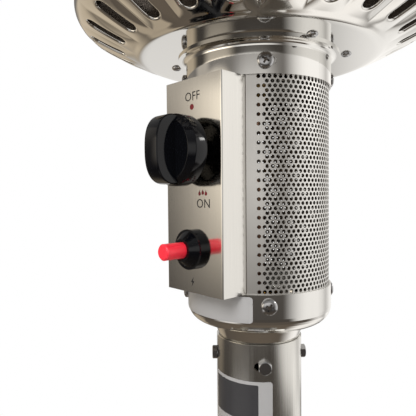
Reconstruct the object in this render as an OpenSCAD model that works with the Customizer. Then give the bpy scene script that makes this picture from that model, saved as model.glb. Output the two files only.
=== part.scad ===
// Tabletop propane patio heater, in millimetres. It stands on z = 0 with its control box facing -Y.
// Azimuths are counted from the front, -Y, towards +X.

/* [Base] */
// Diameter of the base cover
base_d = 300; // [270:1:360]
// Height of each rubber foot
foot_h = 6; // [5:0.5:12]
// Diameter of each rubber foot
foot_d = 26; // [16:1:34]
// Thickness of the cast base weight
weight_t = 18; // [14:1:30]

/* [Tank housing] */
// Diameter of the tank housing
housing_d = 186; // [160:1:210]
// Height of the housing's straight wall
housing_h = 272; // [268:1:330]
// Height of the cone above the housing
cone_h = 40; // [36:1:60]
// Number of vent slots in each row
vent_count = 10; // [6:1:14]
// Length of a vent slot
vent_len = 34; // [20:1:50]

/* [Gas cylinder] */
// Diameter of the gas cylinder
cylinder_d = 99; // [90:1:110]
// Height of the gas cylinder up to its neck
cylinder_h = 203; // [180:1:206]
// Diameter of the threaded neck
neck_d = 25; // [24:0.5:28]

/* [Pole] */
// Outer diameter of the pole
pole_d = 60; // [56:0.5:66]
// Wall of the pole
pole_wall = 1.2; // [1:0.1:2]
// Length of the pole
pole_len = 160; // [120:1:400]

/* [Control head] */
// Outer diameter of the perforated shroud
shroud_d = 97.6; // [94:0.2:110]
// Height of the shroud between cup and collar
shroud_h = 133.3; // [128:0.1:160]
// Diameter of a perforation
perf_d = 5; // [4:0.5:6]
// Distance between perforations
perf_pitch = 12; // [11:0.5:20]
// Height of the collar below the dish
collar_h = 21.5; // [18:0.5:30]
// Height from the pole's top edge to the cup's top edge
cup_rise = 38; // [34:0.5:50]
// Azimuth of the first screw round the head
screw_azimuth = 48; // [40:1:50]

/* [Control box] */
// Width of the control box
box_w = 51.6; // [48:0.1:54]
// Distance of the front panel from the heater's axis
box_front = 61.5; // [58:0.5:70]
// Height of the knob's axis above the cup's top edge
knob_rise = 88; // [84:0.5:92]
// Height of the igniter's axis above the cup's top edge
igniter_rise = 27.5; // [18:0.5:30]

/* [Knob and igniter] */
// Diameter of the knob's skirt
knob_d = 43; // [36:0.5:46]
// Depth of the knob, skirt and grip bar together
knob_depth = 25; // [20:0.5:30]
// Space between the panel and the knob's skirt
knob_gap = 7; // [6:0.5:10]
// Width of the knob's grip bar
grip_w = 12; // [9:0.5:16]
// Diameter of the igniter's push rod
button_d = 10; // [8:0.25:10.5]
// How far the push rod stands out of the panel
button_reach = 23.5; // [20:0.5:30]
// Diameter of the igniter's nut
nut_d = 25; // [23:0.5:28]

/* [Burner dish] */
// Diameter of the dish's flat floor
dish_floor_d = 163.5; // [158:0.5:170]
// Diameter of the dish's upright wall
dish_d = 247; // [240:1:270]
// Height of the dish
dish_h = 45; // [42:0.5:60]
// Slope of the slotted wall in degrees
dish_slope = 27; // [22:0.5:30]
// Number of slots round the dish
slot_count = 24; // [16:1:26]
// Length of a slot
slot_len = 26; // [18:0.5:28]
// Width of a slot
slot_w = 9; // [6:0.5:11]
// Height of the lip turned up into the dish round each slot
lip_h = 2.4; // [1.5:0.1:3.5]
// Azimuth of the first slot
slot_azimuth = 4; // [0:0.5:15]

/* [Emitter and reflector] */
// Diameter of the emitter screen
emitter_d = 130; // [124:1:140]
// Height of the emitter screen
emitter_h = 180; // [150:1:240]
// Space between the emitter's lid and the reflector
reflector_gap = 48; // [30:1:80]
// Diameter of the reflector
reflector_d = 520; // [420:1:700]
// Drop of the reflector from its crown to its rim
reflector_drop = 46; // [30:1:70]

/* [Fits] */
// Thickness of the spun sheet pieces
sheet_t = 1.2; // [1:0.1:1.6]
// Thickness of the folded and perforated sheet
thin_t = 0.8; // [0.6:0.1:1]
// Radial gap between nested sheets
nest_gap = 0.25; // [0.15:0.05:0.4]
// Radial clearance of a running shaft
run_gap = 0.05; // [0.03:0.01:0.1]

/* [Hidden] */
$fn = 96;

// Colours
polished = [0.80, 0.78, 0.75];
brushed = [0.70, 0.68, 0.64];
black = [0.06, 0.07, 0.09];
red = [0.90, 0.15, 0.20];
brass = [0.78, 0.62, 0.30];
iron = [0.22, 0.22, 0.23];
zinc = [0.62, 0.63, 0.65];
copper = [0.72, 0.43, 0.28];
green = [0.20, 0.38, 0.25];
white = [0.93, 0.92, 0.88];

// Radii of the nested sheets
base_r = base_d / 2;
housing_r = housing_d / 2;
pole_r = pole_d / 2;
pole_bore_r = pole_r - pole_wall;
shroud_r = shroud_d / 2;
cup_r = shroud_r + nest_gap + sheet_t;
neck_r = pole_bore_r - nest_gap;
emitter_r = emitter_d / 2;
dish_floor_r = dish_floor_d / 2;
dish_r = dish_d / 2;
lid_r = housing_r + nest_gap + sheet_t;
upstand_r = housing_r - thin_t - nest_gap;
weight_r = base_r - sheet_t - nest_gap;

// Levels from the floor up
z_weight = foot_h + weight_t;
z_cover = z_weight + sheet_t;
z_housing = z_cover + housing_h;
z_plateau = z_housing + cone_h;
z_pole = z_plateau + pole_len;
z_cup = z_pole + cup_rise;
z_collar = z_cup + shroud_h;
z_dish = z_collar + collar_h;
z_floor = z_dish + sheet_t;
z_plate = z_floor + sheet_t;
z_emitter = z_floor + emitter_h;
z_lid = z_emitter + sheet_t;
z_crown = z_lid + reflector_gap;
z_knob = z_cup + knob_rise;
z_igniter = z_cup + igniter_rise;

// Base details
skirt_clear = 4;
base_round = 8;
upstand_h = 20;
foot_ring_r = base_r - 30;
pocket_count = 6;
pocket_angle = 48;
pocket_inner_r = 58;
pocket_wall = 16;
pocket_depth = weight_t - 8;

// Housing details
lid_skirt = 12;
lid_ledge = 5;
plateau_r = pole_r + 16;
vent_w = 7;
vent_margin = 24;
flange_t = 4;
spigot_h = 46;
flange_bolt_r = pole_r + 8.5;

// Cylinder and regulator details
cradle_h = 32;
cradle_hole_r = 16;
cylinder_r = cylinder_d / 2;
cylinder_wall = 1.2;
cylinder_round = 26;
cylinder_foot = 10;
cylinder_dent = 9;
neck_h = 16;
z_tank = z_weight + sheet_t;
z_neck = z_tank + cylinder_h;
z_neck_top = z_neck + neck_h;
nose_r = 8;
nose_h = 7;
nose_flange_t = 3;
wheel_r = neck_d / 2 + 7;
wheel_grips = 10;
wheel_grip_r = 4;
wheel_lift = 4;
wheel_gap = 0.3;
regulator_r = 24;
regulator_h = 30;
regulator_round = 6;
regulator_taper = 8;
relief_r = 6;
relief_rise = 13;
probe_r = 5.5;
probe_len = 8;
bore_r = 2;
outlet_h = 8;
z_wheel = z_neck + wheel_lift;
z_wheel_top = z_neck_top + nose_flange_t + nose_h - wheel_gap;
z_regulator = z_neck_top + nose_flange_t + nose_h;
z_outlet = z_regulator + regulator_h + outlet_h;

// Pipes
pipe_r = 4;
pipe_bore = 2.5;
pipe_bend = 15;
jet_rise = 8;

// Head details
shroud_tuck = 12;
cup_wall_h = 15;
cup_round = 11;
neck_taper = 3;
neck_len = 26;
collar_flare = 3.5;
cut_half = 34;
screw_drop = 7;
screw_lift = 7.6;
screw_d = 5;
screw_head_d = 10;
screw_head_h = 3.2;
screw_len = 7;
bolt_af = 8.4;
bolt_d = 5;
bolt_head_h = 3.4;
bolt_len = 9;
bolt_drop = 14;
slot_play = 4.2;
collar_turn = 2;
hole_gap = 0.3;

// Control box details
box_top = z_collar - nest_gap;
box_back = shroud_r - 12;
fold_r = 1;
panel_back = box_front - thin_t;
igniter_x = -0.9;

// Valve and stem
stem_r = 4;
stem_hole_r = stem_r + 1.5;
groove_r = stem_r - 0.9;
clip_t = 1;
clip_play = 0.1;
clip_r = 7;
clip_stand = 4.3;
clip_y = -(box_front + clip_stand);
valve_w = 34;
valve_h = 52;
valve_depth = 30;
valve_boss_r = 11;
valve_boss_h = 6;
push_travel = 3;
valve_rear = -(panel_back - valve_boss_h - valve_depth);
port_r = 7;
port_h = 5;
port_face = valve_rear + port_h;
z_inlet = z_knob - 14;
z_outlet_port = z_knob + 17;
stem_inner = -(panel_back - 20);
knob_back = -(box_front + knob_gap);
knob_front = knob_back - knob_depth;

// Knob details
skirt_len = 8.7;
knob_chamfer = 3.4;
moon_depth = 0.8;
skirt_edge = 0.8;
knob_rib = 0.6;
knob_wall = 3;
hollow_depth = 6;
hub_r = stem_r + 4;
hub_socket = 12;
grip_power = 2.4;
grip_steps = 10;
grip_end_r = knob_d / 2 - 1;

// Igniter details
button_r = button_d / 2;
barrel_r = 8;
barrel_front = -(box_front + 4.5);
barrel_rear = -24;
barrel_flange_r = 10.5;
barrel_flange_t = 3;
nut_rim = 4;
nut_h = 9;
nut_lip_r = 7;
nut_step = 1.2;
press_travel = 8;
button_inner = -(box_front - 3.5);
button_chamfer = 0.8;
terminal_r = 2.5;
terminal_len = 4;
wire_r = 1.6;
wire_sides = 8;

// Tilt switch
tilt_w = 14;
tilt_depth = 20;
tilt_h = 18;
tilt_rise = 48;
tilt_set = 6;

// Burner details
jet_af = 14;
jet_hex_h = 8;
jet_nozzle_r = 4;
jet_nozzle_h = 6;
jet_bore_r = 0.9;
tube_r = 15;
tube_floor = 2;
tube_flange_r = 24;
tube_rise = 34;
air_count = 4;
air_len = 13;
air_w = 8;
head_r = 32;
head_h = 22;
head_round = 4;
port_hole_d = 3;
port_count = 24;
sensor_x = 12;
sensor_y = -36;
sensor_r = 1.6;
tip_r = 2.3;
ceramic_r = 3;
ceramic_collar_r = 5;
ceramic_drop = 9;
ceramic_rise = 24;
spark_pin_r = 1;
gland_h = 3;
z_jet = z_outlet_port + pipe_bend + jet_rise;
z_tube = z_jet + jet_hex_h;
z_tube_top = z_plate + tube_rise;

// Dish, emitter and reflector details
dish_bend = 11;
floor_bend = 5;
rim_r = 2.4;
slot_start_r = dish_floor_r + 22;
rivet_r = 60;
rivet_azimuths = [73, 122];
rivet_d = 7;
rivet_head_h = 2.2;
screen_perf_d = 7;
screen_pitch = 18;
plate_lip = 12;
cap_skirt = 12;
stud_ring_r = 42;
stud_count = 3;
stud_r = 3;
stud_end = 4;
spacer_r = 5.5;
crown_r = 62;
rim_lip = 8;
nut_hub_r = 6;
nut_hub_h = 8;
wing_r = 7;
wing_t = 2.5;

// Helpers for outlines: an arc's points, and a sheet of even thickness laid on the left of a path
function arc(centre, r, from, to, steps = 8) =
    [for (k = [0 : steps]) let (a = from + (to - from) * k / steps) centre + r * [cos(a), sin(a)]];
function unit(v) = v / norm(v);
function edge_normal(p, i) = let (d = unit(p[i + 1] - p[i])) [-d[1], d[0]];
function sheet_point(p, i, t) =
    let (a = edge_normal(p, max(i - 1, 0)), b = edge_normal(p, min(i, len(p) - 2)))
    p[i] + t * (a + b) / (1 + a * b);
function sheet(p, t) = concat(p, [for (i = [len(p) - 1 : -1 : 0]) sheet_point(p, i, t)]);
function heading(azimuth) = azimuth - 90;

module spun(path, t) {
    rotate_extrude() polygon(sheet(path, t));
}

module around(count, azimuth) {
    for (k = [0 : count - 1]) rotate([0, 0, heading(azimuth) + k * 360 / count]) children();
}

// A slot's outline, long in x
module stadium(len, w) {
    square([len - w, w], center = true);
    for (s = [-1, 1]) translate([s * (len - w) / 2, 0]) circle(d = w);
}

// A slot cut through a wall at radius r, long in z
module wall_slot(r, len, w, depth = 8) {
    translate([r, 0, 0]) rotate([0, 90, 0]) linear_extrude(depth, center = true) stadium(len, w);
}

// A round hole through a wall at radius r
module wall_hole(r, d, depth = 8) {
    translate([r, 0, 0]) rotate([0, 90, 0]) cylinder(d = d, h = depth, center = true);
}

// A hole lengthened sideways, for a screw that is set after the pieces are turned to fit
module play_hole(r, d, play) {
    translate([r, play / 2, 0]) rotate([0, 90, 0]) linear_extrude(8, center = true)
        rotate(90) stadium(d + play, d);
}

module hex_bolt(head_h, len) {
    rotate([0, 90, 0]) {
        cylinder(d = bolt_af / cos(30), h = head_h, $fn = 6);
        translate([0, 0, -len]) cylinder(d = bolt_d, h = len);
    }
}

module pan_screw(len) {
    crown = screw_head_h * 0.55;
    rotate([0, 90, 0]) {
        rotate_extrude() polygon(concat(
            [[0, 0], [screw_head_d / 2, 0]],
            [for (k = [0 : 5]) [screw_head_d / 2 * cos(k * 18),
                                screw_head_h - crown + crown * sin(k * 18)]]));
        translate([0, 0, -len]) cylinder(d = screw_d, h = len);
    }
}

// A run along y: a cylinder from y0 to y1 at height z
module along_y(r, y0, y1, x, z) {
    translate([x, y0, z]) rotate([-90, 0, 0]) cylinder(r = r, h = y1 - y0);
}

// A piece of revolution about an axis along y, drawn as [radius, distance out from the panel]
module turned_out(points, x, z) {
    translate([x, 0, z]) rotate([90, 0, 0]) rotate_extrude() polygon(points);
}

// A quarter bend from straight up at the axis to straight along -y
module pipe_elbow(r) {
    rotate([0, 0, -90]) translate([pipe_bend, 0, 0]) rotate([90, 0, 0]) rotate([0, 0, 90])
        rotate_extrude(angle = 90) translate([pipe_bend, 0]) circle(r = r);
}

// Base

module rubber_feet() {
    color(black) for (k = [0 : 3]) rotate([0, 0, 45 + 90 * k]) translate([foot_ring_r, 0, 0])
        rotate_extrude() polygon([[0, 0], [foot_d / 2 - 3, 0], [foot_d / 2, foot_h], [0, foot_h]]);
}

module base_weight() {
    color(iron) difference() {
        rotate_extrude() polygon(concat([[0, foot_h], [weight_r, foot_h]],
            arc([weight_r - base_round, z_weight - base_round], base_round, 0, 90), [[0, z_weight]]));
        for (k = [0 : pocket_count - 1]) rotate([0, 0, k * 360 / pocket_count - pocket_angle / 2])
            translate([0, 0, foot_h - 1]) rotate_extrude(angle = pocket_angle)
                translate([pocket_inner_r, 0])
                    square([foot_ring_r - foot_d / 2 - pocket_wall / 2 - pocket_inner_r, pocket_depth + 1]);
    }
}

module base_cover() {
    path = concat(
        [[base_r, skirt_clear]],
        arc([base_r - base_round, z_cover - base_round], base_round, 0, 90),
        [[upstand_r, z_cover], [upstand_r, z_cover + upstand_h]]);
    color(polished) difference() {
        spun(path, sheet_t);
        around(4, 45) translate([0, 0, z_cover + upstand_h / 2]) wall_hole(upstand_r, screw_d + hole_gap);
    }
}

// Tank housing

module tank_housing() {
    color(brushed) difference() {
        translate([0, 0, z_cover]) cylinder(r = housing_r, h = housing_h);
        translate([0, 0, z_cover - 1]) cylinder(r = housing_r - thin_t, h = housing_h + 2);
        for (z = [z_cover + upstand_h + vent_margin, z_housing - vent_margin - vent_len / 2])
            around(vent_count, 0) translate([0, 0, z]) wall_slot(housing_r, vent_len, vent_w);
        around(4, 45) translate([0, 0, z_cover + upstand_h / 2]) wall_hole(housing_r, screw_d + hole_gap);
    }
}

module housing_screws() {
    color(zinc) around(4, 45) translate([housing_r, 0, z_cover + upstand_h / 2]) pan_screw(screw_len);
}

module housing_cone() {
    path = [[lid_r, z_housing - lid_skirt], [lid_r, z_housing + sheet_t],
            [lid_r - lid_ledge, z_housing + sheet_t], [plateau_r, z_plateau],
            [pole_bore_r + nest_gap / 2, z_plateau]];
    color(polished) difference() {
        spun(path, sheet_t);
        around(4, 0) translate([flange_bolt_r, 0, z_plateau])
            cylinder(d = bolt_d + hole_gap, h = 12, center = true);
    }
}

module pole_socket() {
    top = z_plateau - sheet_t;
    color(zinc) difference() {
        union() {
            translate([0, 0, top - flange_t]) cylinder(r = plateau_r - 2, h = flange_t);
            translate([0, 0, top - flange_t]) cylinder(r = neck_r, h = flange_t + sheet_t + spigot_h);
        }
        translate([0, 0, top - flange_t - 1]) cylinder(r = neck_r - 2, h = spigot_h + 20);
        around(4, 0) translate([flange_bolt_r, 0, top])
            cylinder(d = bolt_d + hole_gap, h = 4 * flange_t, center = true);
        around(4, screw_azimuth) translate([0, 0, z_plateau + bolt_drop])
            wall_hole(neck_r, bolt_d + hole_gap);
    }
}

module flange_bolts() {
    color(zinc) around(4, 0) translate([flange_bolt_r, 0, z_plateau])
        rotate([0, -90, 0]) hex_bolt(bolt_head_h, bolt_len);
}

// Gas cylinder and regulator

module cylinder_cradle() {
    r = cylinder_r + nest_gap + sheet_t;
    color(zinc) spun([[cradle_hole_r, z_weight], [r, z_weight], [r, z_weight + cradle_h]], sheet_t);
}

module gas_cylinder() {
    neck_r = neck_d / 2;
    shoulder = cylinder_round;
    foot_r = cylinder_r - cylinder_foot;
    path = concat(
        [[0, z_tank + cylinder_dent], [foot_r / 2, z_tank + cylinder_dent],
         [foot_r - cylinder_foot / 2, z_tank], [foot_r, z_tank]],
        arc([foot_r, z_tank + cylinder_foot], cylinder_foot, -75, 0, 5),
        arc([cylinder_r - shoulder, z_neck - shoulder], shoulder, 0, 75),
        [[neck_r, z_neck], [neck_r, z_neck_top]]);
    color(green) spun(path, cylinder_wall);
}

module regulator_handwheel() {
    lip = z_neck_top + nose_flange_t + wheel_gap;
    color(black) difference() {
        translate([0, 0, z_wheel]) cylinder(r = wheel_r, h = z_wheel_top - z_wheel);
        translate([0, 0, z_wheel - 1]) cylinder(r = neck_d / 2 + hole_gap, h = lip - z_wheel + 1);
        translate([0, 0, lip - 1]) cylinder(r = nose_r + run_gap, h = z_wheel_top - lip + 2);
        for (k = [0 : wheel_grips - 1]) rotate([0, 0, k * 360 / wheel_grips])
            translate([wheel_r + wheel_grip_r * 0.6, 0, z_neck])
                cylinder(r = wheel_grip_r, h = z_regulator - z_neck);
    }
}

module regulator_body() {
    z_body_top = z_regulator + regulator_h;
    color(zinc) difference() {
        union() {
            translate([0, 0, z_neck_top - probe_len]) cylinder(r = probe_r, h = probe_len + 1);
            translate([0, 0, z_neck_top]) cylinder(r = neck_d / 2 - nest_gap, h = nose_flange_t);
            translate([0, 0, z_neck_top]) cylinder(r = nose_r, h = nose_flange_t + nose_h + 1);
            rotate_extrude() polygon(concat(
                [[0, z_regulator], [regulator_r - regulator_round, z_regulator],
                 [regulator_r, z_regulator + regulator_taper]],
                arc([regulator_r - regulator_round, z_body_top - regulator_round], regulator_round, 0, 90),
                [[0, z_body_top]]));
            translate([0, 0, z_body_top - 1]) cylinder(d = jet_af / cos(30), h = outlet_h + 1, $fn = 6);
        }
        translate([0, 0, z_neck_top - probe_len - 1]) cylinder(r = bore_r, h = z_outlet);
        along_y(relief_r, -regulator_r - 2, -regulator_r + 2, 0, z_regulator + relief_rise);
    }
}

// Pipes

module supply_run(r, over) {
    translate([0, 0, z_outlet - over]) cylinder(r = r, h = z_inlet - pipe_bend - z_outlet + over);
    translate([0, 0, z_inlet - pipe_bend]) pipe_elbow(r);
    along_y(r, port_face - over, -pipe_bend, 0, z_inlet);
}

module gas_pipe() {
    color(copper) difference() {
        supply_run(pipe_r, 0);
        supply_run(pipe_bore, 1);
    }
}

module feed_run(r, over) {
    along_y(r, port_face - over, -pipe_bend, 0, z_outlet_port);
    translate([0, 0, z_outlet_port + pipe_bend]) mirror([0, 0, 1]) pipe_elbow(r);
    translate([0, 0, z_outlet_port + pipe_bend]) cylinder(r = r, h = jet_rise + over);
}

module burner_feed_pipe() {
    color(copper) difference() {
        feed_run(pipe_r, 0);
        feed_run(pipe_bore, 1);
    }
}

// Pole and cup

module pole() {
    color(brushed) difference() {
        translate([0, 0, z_plateau]) cylinder(r = pole_r, h = pole_len);
        translate([0, 0, z_plateau - 1]) cylinder(r = pole_bore_r, h = pole_len + 2);
        around(4, screw_azimuth) {
            translate([0, 0, z_pole - bolt_drop]) mirror([0, 1, 0])
                play_hole(pole_r, bolt_d + hole_gap, slot_play);
            translate([0, 0, z_plateau + bolt_drop]) wall_hole(pole_r, bolt_d + hole_gap);
        }
    }
}

module pole_foot_bolts() {
    color(zinc) around(4, screw_azimuth) translate([pole_r, 0, z_plateau + bolt_drop])
        hex_bolt(bolt_head_h, bolt_len);
}

module pole_top_bolts() {
    color(zinc) around(4, screw_azimuth) translate([pole_r, 0, z_pole - bolt_drop])
        hex_bolt(bolt_head_h, bolt_len);
}

module lower_cup() {
    shoulder_z = z_cup - cup_wall_h;
    path = concat(
        [[neck_r, z_pole - neck_len], [neck_r, z_pole], [neck_r + neck_taper, z_pole + 8]],
        arc([cup_r - cup_round, shoulder_z], cup_round, -75, 0),
        [[cup_r, z_cup]]);
    color(polished) difference() {
        spun(path, sheet_t);
        around(4, screw_azimuth) {
            translate([0, 0, z_cup - screw_drop]) wall_hole(cup_r, screw_d + hole_gap);
            translate([0, 0, z_pole - bolt_drop]) mirror([0, 1, 0])
                play_hole(neck_r, bolt_d + hole_gap, slot_play);
        }
    }
}

module cup_screws() {
    color(zinc) around(4, screw_azimuth) translate([cup_r, 0, z_cup - screw_drop]) pan_screw(screw_len);
}

// Shroud and control box

module perforated_shroud() {
    top = z_collar + collar_h - collar_flare - sheet_t;
    bottom = z_cup - shroud_tuck;
    step = perf_pitch / shroud_r * 180 / PI;
    row_step = perf_pitch * sin(60);
    rows = floor((shroud_h - 2 * perf_d) / row_step);
    first = cut_half + 1.2 * step / 2 + 2;
    columns = floor((360 - 2 * first) / step);
    color(brushed) difference() {
        translate([0, 0, bottom]) cylinder(r = shroud_r, h = top - bottom);
        translate([0, 0, bottom - 1]) cylinder(r = shroud_r - thin_t, h = top - bottom + 2);
        translate([0, 0, z_cup]) rotate([0, 0, heading(-cut_half)]) rotate_extrude(angle = 2 * cut_half)
            translate([shroud_r - 4, 0]) square([8, shroud_h]);
        for (row = [0 : rows], column = [0 : columns - row % 2])
            rotate([0, 0, heading(first + (column + (row % 2) / 2) * step)])
                translate([0, 0, z_cup + shroud_h / 2 + (row - rows / 2) * row_step])
                    wall_hole(shroud_r, perf_d, 4);
        around(4, screw_azimuth) translate([0, 0, z_cup - screw_drop])
            wall_hole(shroud_r, screw_d + hole_gap);
        around(4, screw_azimuth - collar_turn) translate([0, 0, z_collar + screw_lift])
            wall_hole(shroud_r, screw_d + hole_gap);
    }
}

// The box's plan from the front panel back to the shroud, with folded corners
module box_plan(half_w, front, back, r) {
    translate([-half_w, -front + r]) square([2 * half_w, front - r - back]);
    translate([-half_w + r, -front]) square([2 * (half_w - r), r + 1]);
    for (s = [-1, 1]) translate([s * (half_w - r), -front + r]) circle(r = r);
}

module control_box() {
    height = box_top - z_cup;
    half_w = box_w / 2;
    color(brushed) difference() {
        translate([0, 0, z_cup]) linear_extrude(height) box_plan(half_w, box_front, box_back, fold_r);
        translate([0, 0, z_cup + thin_t]) linear_extrude(height - 2 * thin_t)
            box_plan(half_w - thin_t, panel_back, box_back - 1, fold_r - thin_t);
        translate([0, 0, z_cup - 1]) cylinder(r = shroud_r - thin_t, h = height + 2);
        along_y(stem_hole_r, -box_front - 1, -panel_back + 1, 0, z_knob);
        along_y(barrel_r + hole_gap, -box_front - 1, -panel_back + 1, igniter_x, z_igniter);
    }
}

// Gas valve and knob

module gas_valve() {
    color(brass) difference() {
        union() {
            along_y(valve_boss_r, -panel_back, -panel_back + valve_boss_h + 1, 0, z_knob);
            translate([-valve_w / 2, valve_rear - valve_depth, z_knob - valve_h / 2])
                cube([valve_w, valve_depth, valve_h]);
            for (z = [z_inlet, z_outlet_port]) along_y(port_r, valve_rear - 1, port_face, 0, z);
        }
        along_y(stem_r + run_gap, -panel_back - 1, stem_inner + push_travel + 1, 0, z_knob);
    }
}

module valve_stem() {
    color(brass) difference() {
        along_y(stem_r, knob_back - hub_socket, stem_inner, 0, z_knob);
        difference() {
            along_y(stem_r + 1, clip_y - clip_t / 2 - clip_play, clip_y + clip_t / 2 + clip_play, 0, z_knob);
            along_y(groove_r, clip_y - clip_t, clip_y + clip_t, 0, z_knob);
        }
    }
}

module stem_clip() {
    color(zinc) difference() {
        along_y(clip_r, clip_y - clip_t / 2, clip_y + clip_t / 2, 0, z_knob);
        along_y(groove_r + run_gap, clip_y - clip_t, clip_y + clip_t, 0, z_knob);
    }
}

// Points of the grip bar's rounded front, from its end at radius r to its nose
function grip_edge(r, low, high) = [for (k = [0 : grip_steps])
    [r * pow(cos(90 * k / grip_steps), 2 / grip_power),
     low + (high - low) * pow(sin(90 * k / grip_steps), 2 / grip_power)]];

module control_knob() {
    knob_r = knob_d / 2;
    shoulder = -knob_back + skirt_len;
    face = shoulder + knob_chamfer;
    nose = -knob_front;
    moon_r = knob_r - knob_chamfer - knob_rib;
    color(black) difference() {
        union() {
            turned_out([[0, -knob_back], [knob_r - skirt_edge, -knob_back], [knob_r, -knob_back + skirt_edge],
                        [knob_r, shoulder], [knob_r - knob_chamfer, face], [0, face]], 0, z_knob);
            intersection() {
                turned_out(concat([[0, face - knob_chamfer], [grip_end_r, face - knob_chamfer]],
                    grip_edge(grip_end_r, face - moon_depth, nose)), 0, z_knob);
                translate([-grip_w / 2, -nose - 1, z_knob - knob_r]) cube([grip_w, nose - face + 6, knob_d]);
            }
        }
        difference() {
            turned_out([[0, face - moon_depth], [moon_r, face - moon_depth],
                        [moon_r, face + 1], [0, face + 1]], 0, z_knob);
            translate([-grip_w / 2, -nose - 1, z_knob - knob_r]) cube([grip_w, nose, knob_d]);
        }
        along_y(stem_r + run_gap, knob_back - hub_socket, knob_back + 1, 0, z_knob);
        difference() {
            along_y(knob_r - knob_wall, knob_back - hollow_depth, knob_back + 1, 0, z_knob);
            along_y(hub_r, knob_back - hollow_depth - 1, knob_back + 2, 0, z_knob);
        }
    }
}

// Igniter

module igniter_body() {
    color(black) difference() {
        union() {
            along_y(barrel_r, barrel_front, barrel_rear, igniter_x, z_igniter);
            along_y(barrel_flange_r, -panel_back, -panel_back + barrel_flange_t, igniter_x, z_igniter);
            along_y(terminal_r, barrel_rear - 1, barrel_rear + terminal_len, igniter_x, z_igniter);
        }
        along_y(button_r + run_gap, barrel_front - 1, button_inner + press_travel + 1, igniter_x, z_igniter);
    }
}

module igniter_nut() {
    nut_r = nut_d / 2;
    inner = -barrel_front + hole_gap;
    thread_r = barrel_r + hole_gap;
    rod_r = button_r + hole_gap;
    rim = box_front + nut_rim;
    color(black) turned_out([[thread_r, box_front], [nut_r, box_front], [nut_r, rim], [nut_r - nut_step, rim],
        [nut_lip_r, box_front + nut_h], [rod_r, box_front + nut_h], [rod_r, inner], [thread_r, inner]],
        igniter_x, z_igniter);
}

module igniter_button() {
    tip = box_front + button_reach;
    color(red) turned_out([[0, -button_inner], [button_r, -button_inner], [button_r, tip - button_chamfer],
        [button_r - button_chamfer, tip], [0, tip]], igniter_x, z_igniter);
}

// Points of the spark lead, from the igniter's terminal to the electrode
wire_end = [-sensor_x, sensor_y, z_dish - ceramic_drop - terminal_len];
wire_start = [igniter_x, barrel_rear + terminal_len, z_igniter];
wire_route = [wire_start, wire_start + [0, 3, 0], [-4, -14, z_igniter + 3], [-12, -14, z_igniter + 10],
    [-20, -19, z_igniter + 22], [-22, -26, z_igniter + 40], [-22, -29, z_knob], [-22, -30, z_knob + 24],
    [-19, -33, wire_end[2] - 10], [-14, -36, wire_end[2] - 3], wire_end];
function wire_direction(i) = unit(wire_route[min(i + 1, len(wire_route) - 1)] - wire_route[max(i - 1, 0)]);
function wire_ring(i) =
    let (d = i == 0 ? [0, 1, 0] : i == len(wire_route) - 1 ? [0, 0, 1] : wire_direction(i),
         side = unit(cross(d, [1, 0.2, -0.1])), up = cross(d, side))
    [for (k = [0 : wire_sides - 1]) let (a = k * 360 / wire_sides)
        wire_route[i] + wire_r * (side * cos(a) + up * sin(a))];

module igniter_wire() {
    rings = len(wire_route);
    points = [for (i = [0 : rings - 1]) each wire_ring(i)];
    sides = [for (i = [0 : rings - 2], k = [0 : wire_sides - 1])
        let (a = i * wire_sides + k, b = i * wire_sides + (k + 1) % wire_sides)
        each [[a, a + wire_sides, b], [b, a + wire_sides, b + wire_sides]]];
    caps = [[for (k = [0 : wire_sides - 1]) k],
            [for (k = [wire_sides - 1 : -1 : 0]) (rings - 1) * wire_sides + k]];
    color(red) polyhedron(points, concat(sides, caps), 4);
}

module tilt_switch() {
    wall = box_w / 2 - thin_t;
    z = z_cup + tilt_rise;
    color(black) union() {
        translate([wall - tilt_w, -panel_back + tilt_set, z - tilt_h / 2]) cube([tilt_w, tilt_depth, tilt_h]);
        translate([wall - tilt_w / 2, -panel_back + tilt_set + tilt_depth / 2, z + tilt_h / 2 - 1])
            cylinder(r = tilt_w / 2 - 1, h = 4);
    }
}

// Burner

module burner_jet() {
    color(brass) difference() {
        union() {
            translate([0, 0, z_jet]) cylinder(d = jet_af / cos(30), h = jet_hex_h, $fn = 6);
            translate([0, 0, z_tube - 1]) cylinder(r = jet_nozzle_r, h = jet_nozzle_h + 1);
        }
        translate([0, 0, z_jet - 1]) cylinder(r = jet_bore_r, h = jet_hex_h + jet_nozzle_h + 2);
    }
}

module burner_tube() {
    color(brushed) difference() {
        union() {
            translate([0, 0, z_tube]) cylinder(r = tube_r, h = z_tube_top - z_tube);
            translate([0, 0, z_plate]) cylinder(r = tube_flange_r, h = sheet_t);
        }
        translate([0, 0, z_tube + tube_floor]) cylinder(r = tube_r - sheet_t, h = z_tube_top - z_tube);
        translate([0, 0, z_tube - 1]) cylinder(r = jet_nozzle_r + nest_gap, h = tube_floor + 2);
        around(air_count, 45) translate([0, 0, z_tube + tube_floor + air_len / 2 + 1])
            wall_slot(tube_r, air_len, air_w);
    }
}

module burner_head() {
    path = concat(
        [[tube_r - 3, z_tube_top]],
        arc([head_r - head_round, z_tube_top + head_round], head_round, -90, 0, 5),
        arc([head_r - head_round, z_tube_top + head_h - head_round], head_round, 0, 90, 5),
        [[0, z_tube_top + head_h]]);
    color(brushed) difference() {
        spun(path, sheet_t);
        around(port_count, 0) translate([0, 0, z_tube_top + head_h / 2]) wall_hole(head_r, port_hole_d);
        for (share = [1 / 3, 3 / 5]) around(floor(port_count * share), 0)
            translate([head_r * share, 0, z_tube_top + head_h])
                cylinder(d = port_hole_d, h = head_round, center = true);
    }
}

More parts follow.
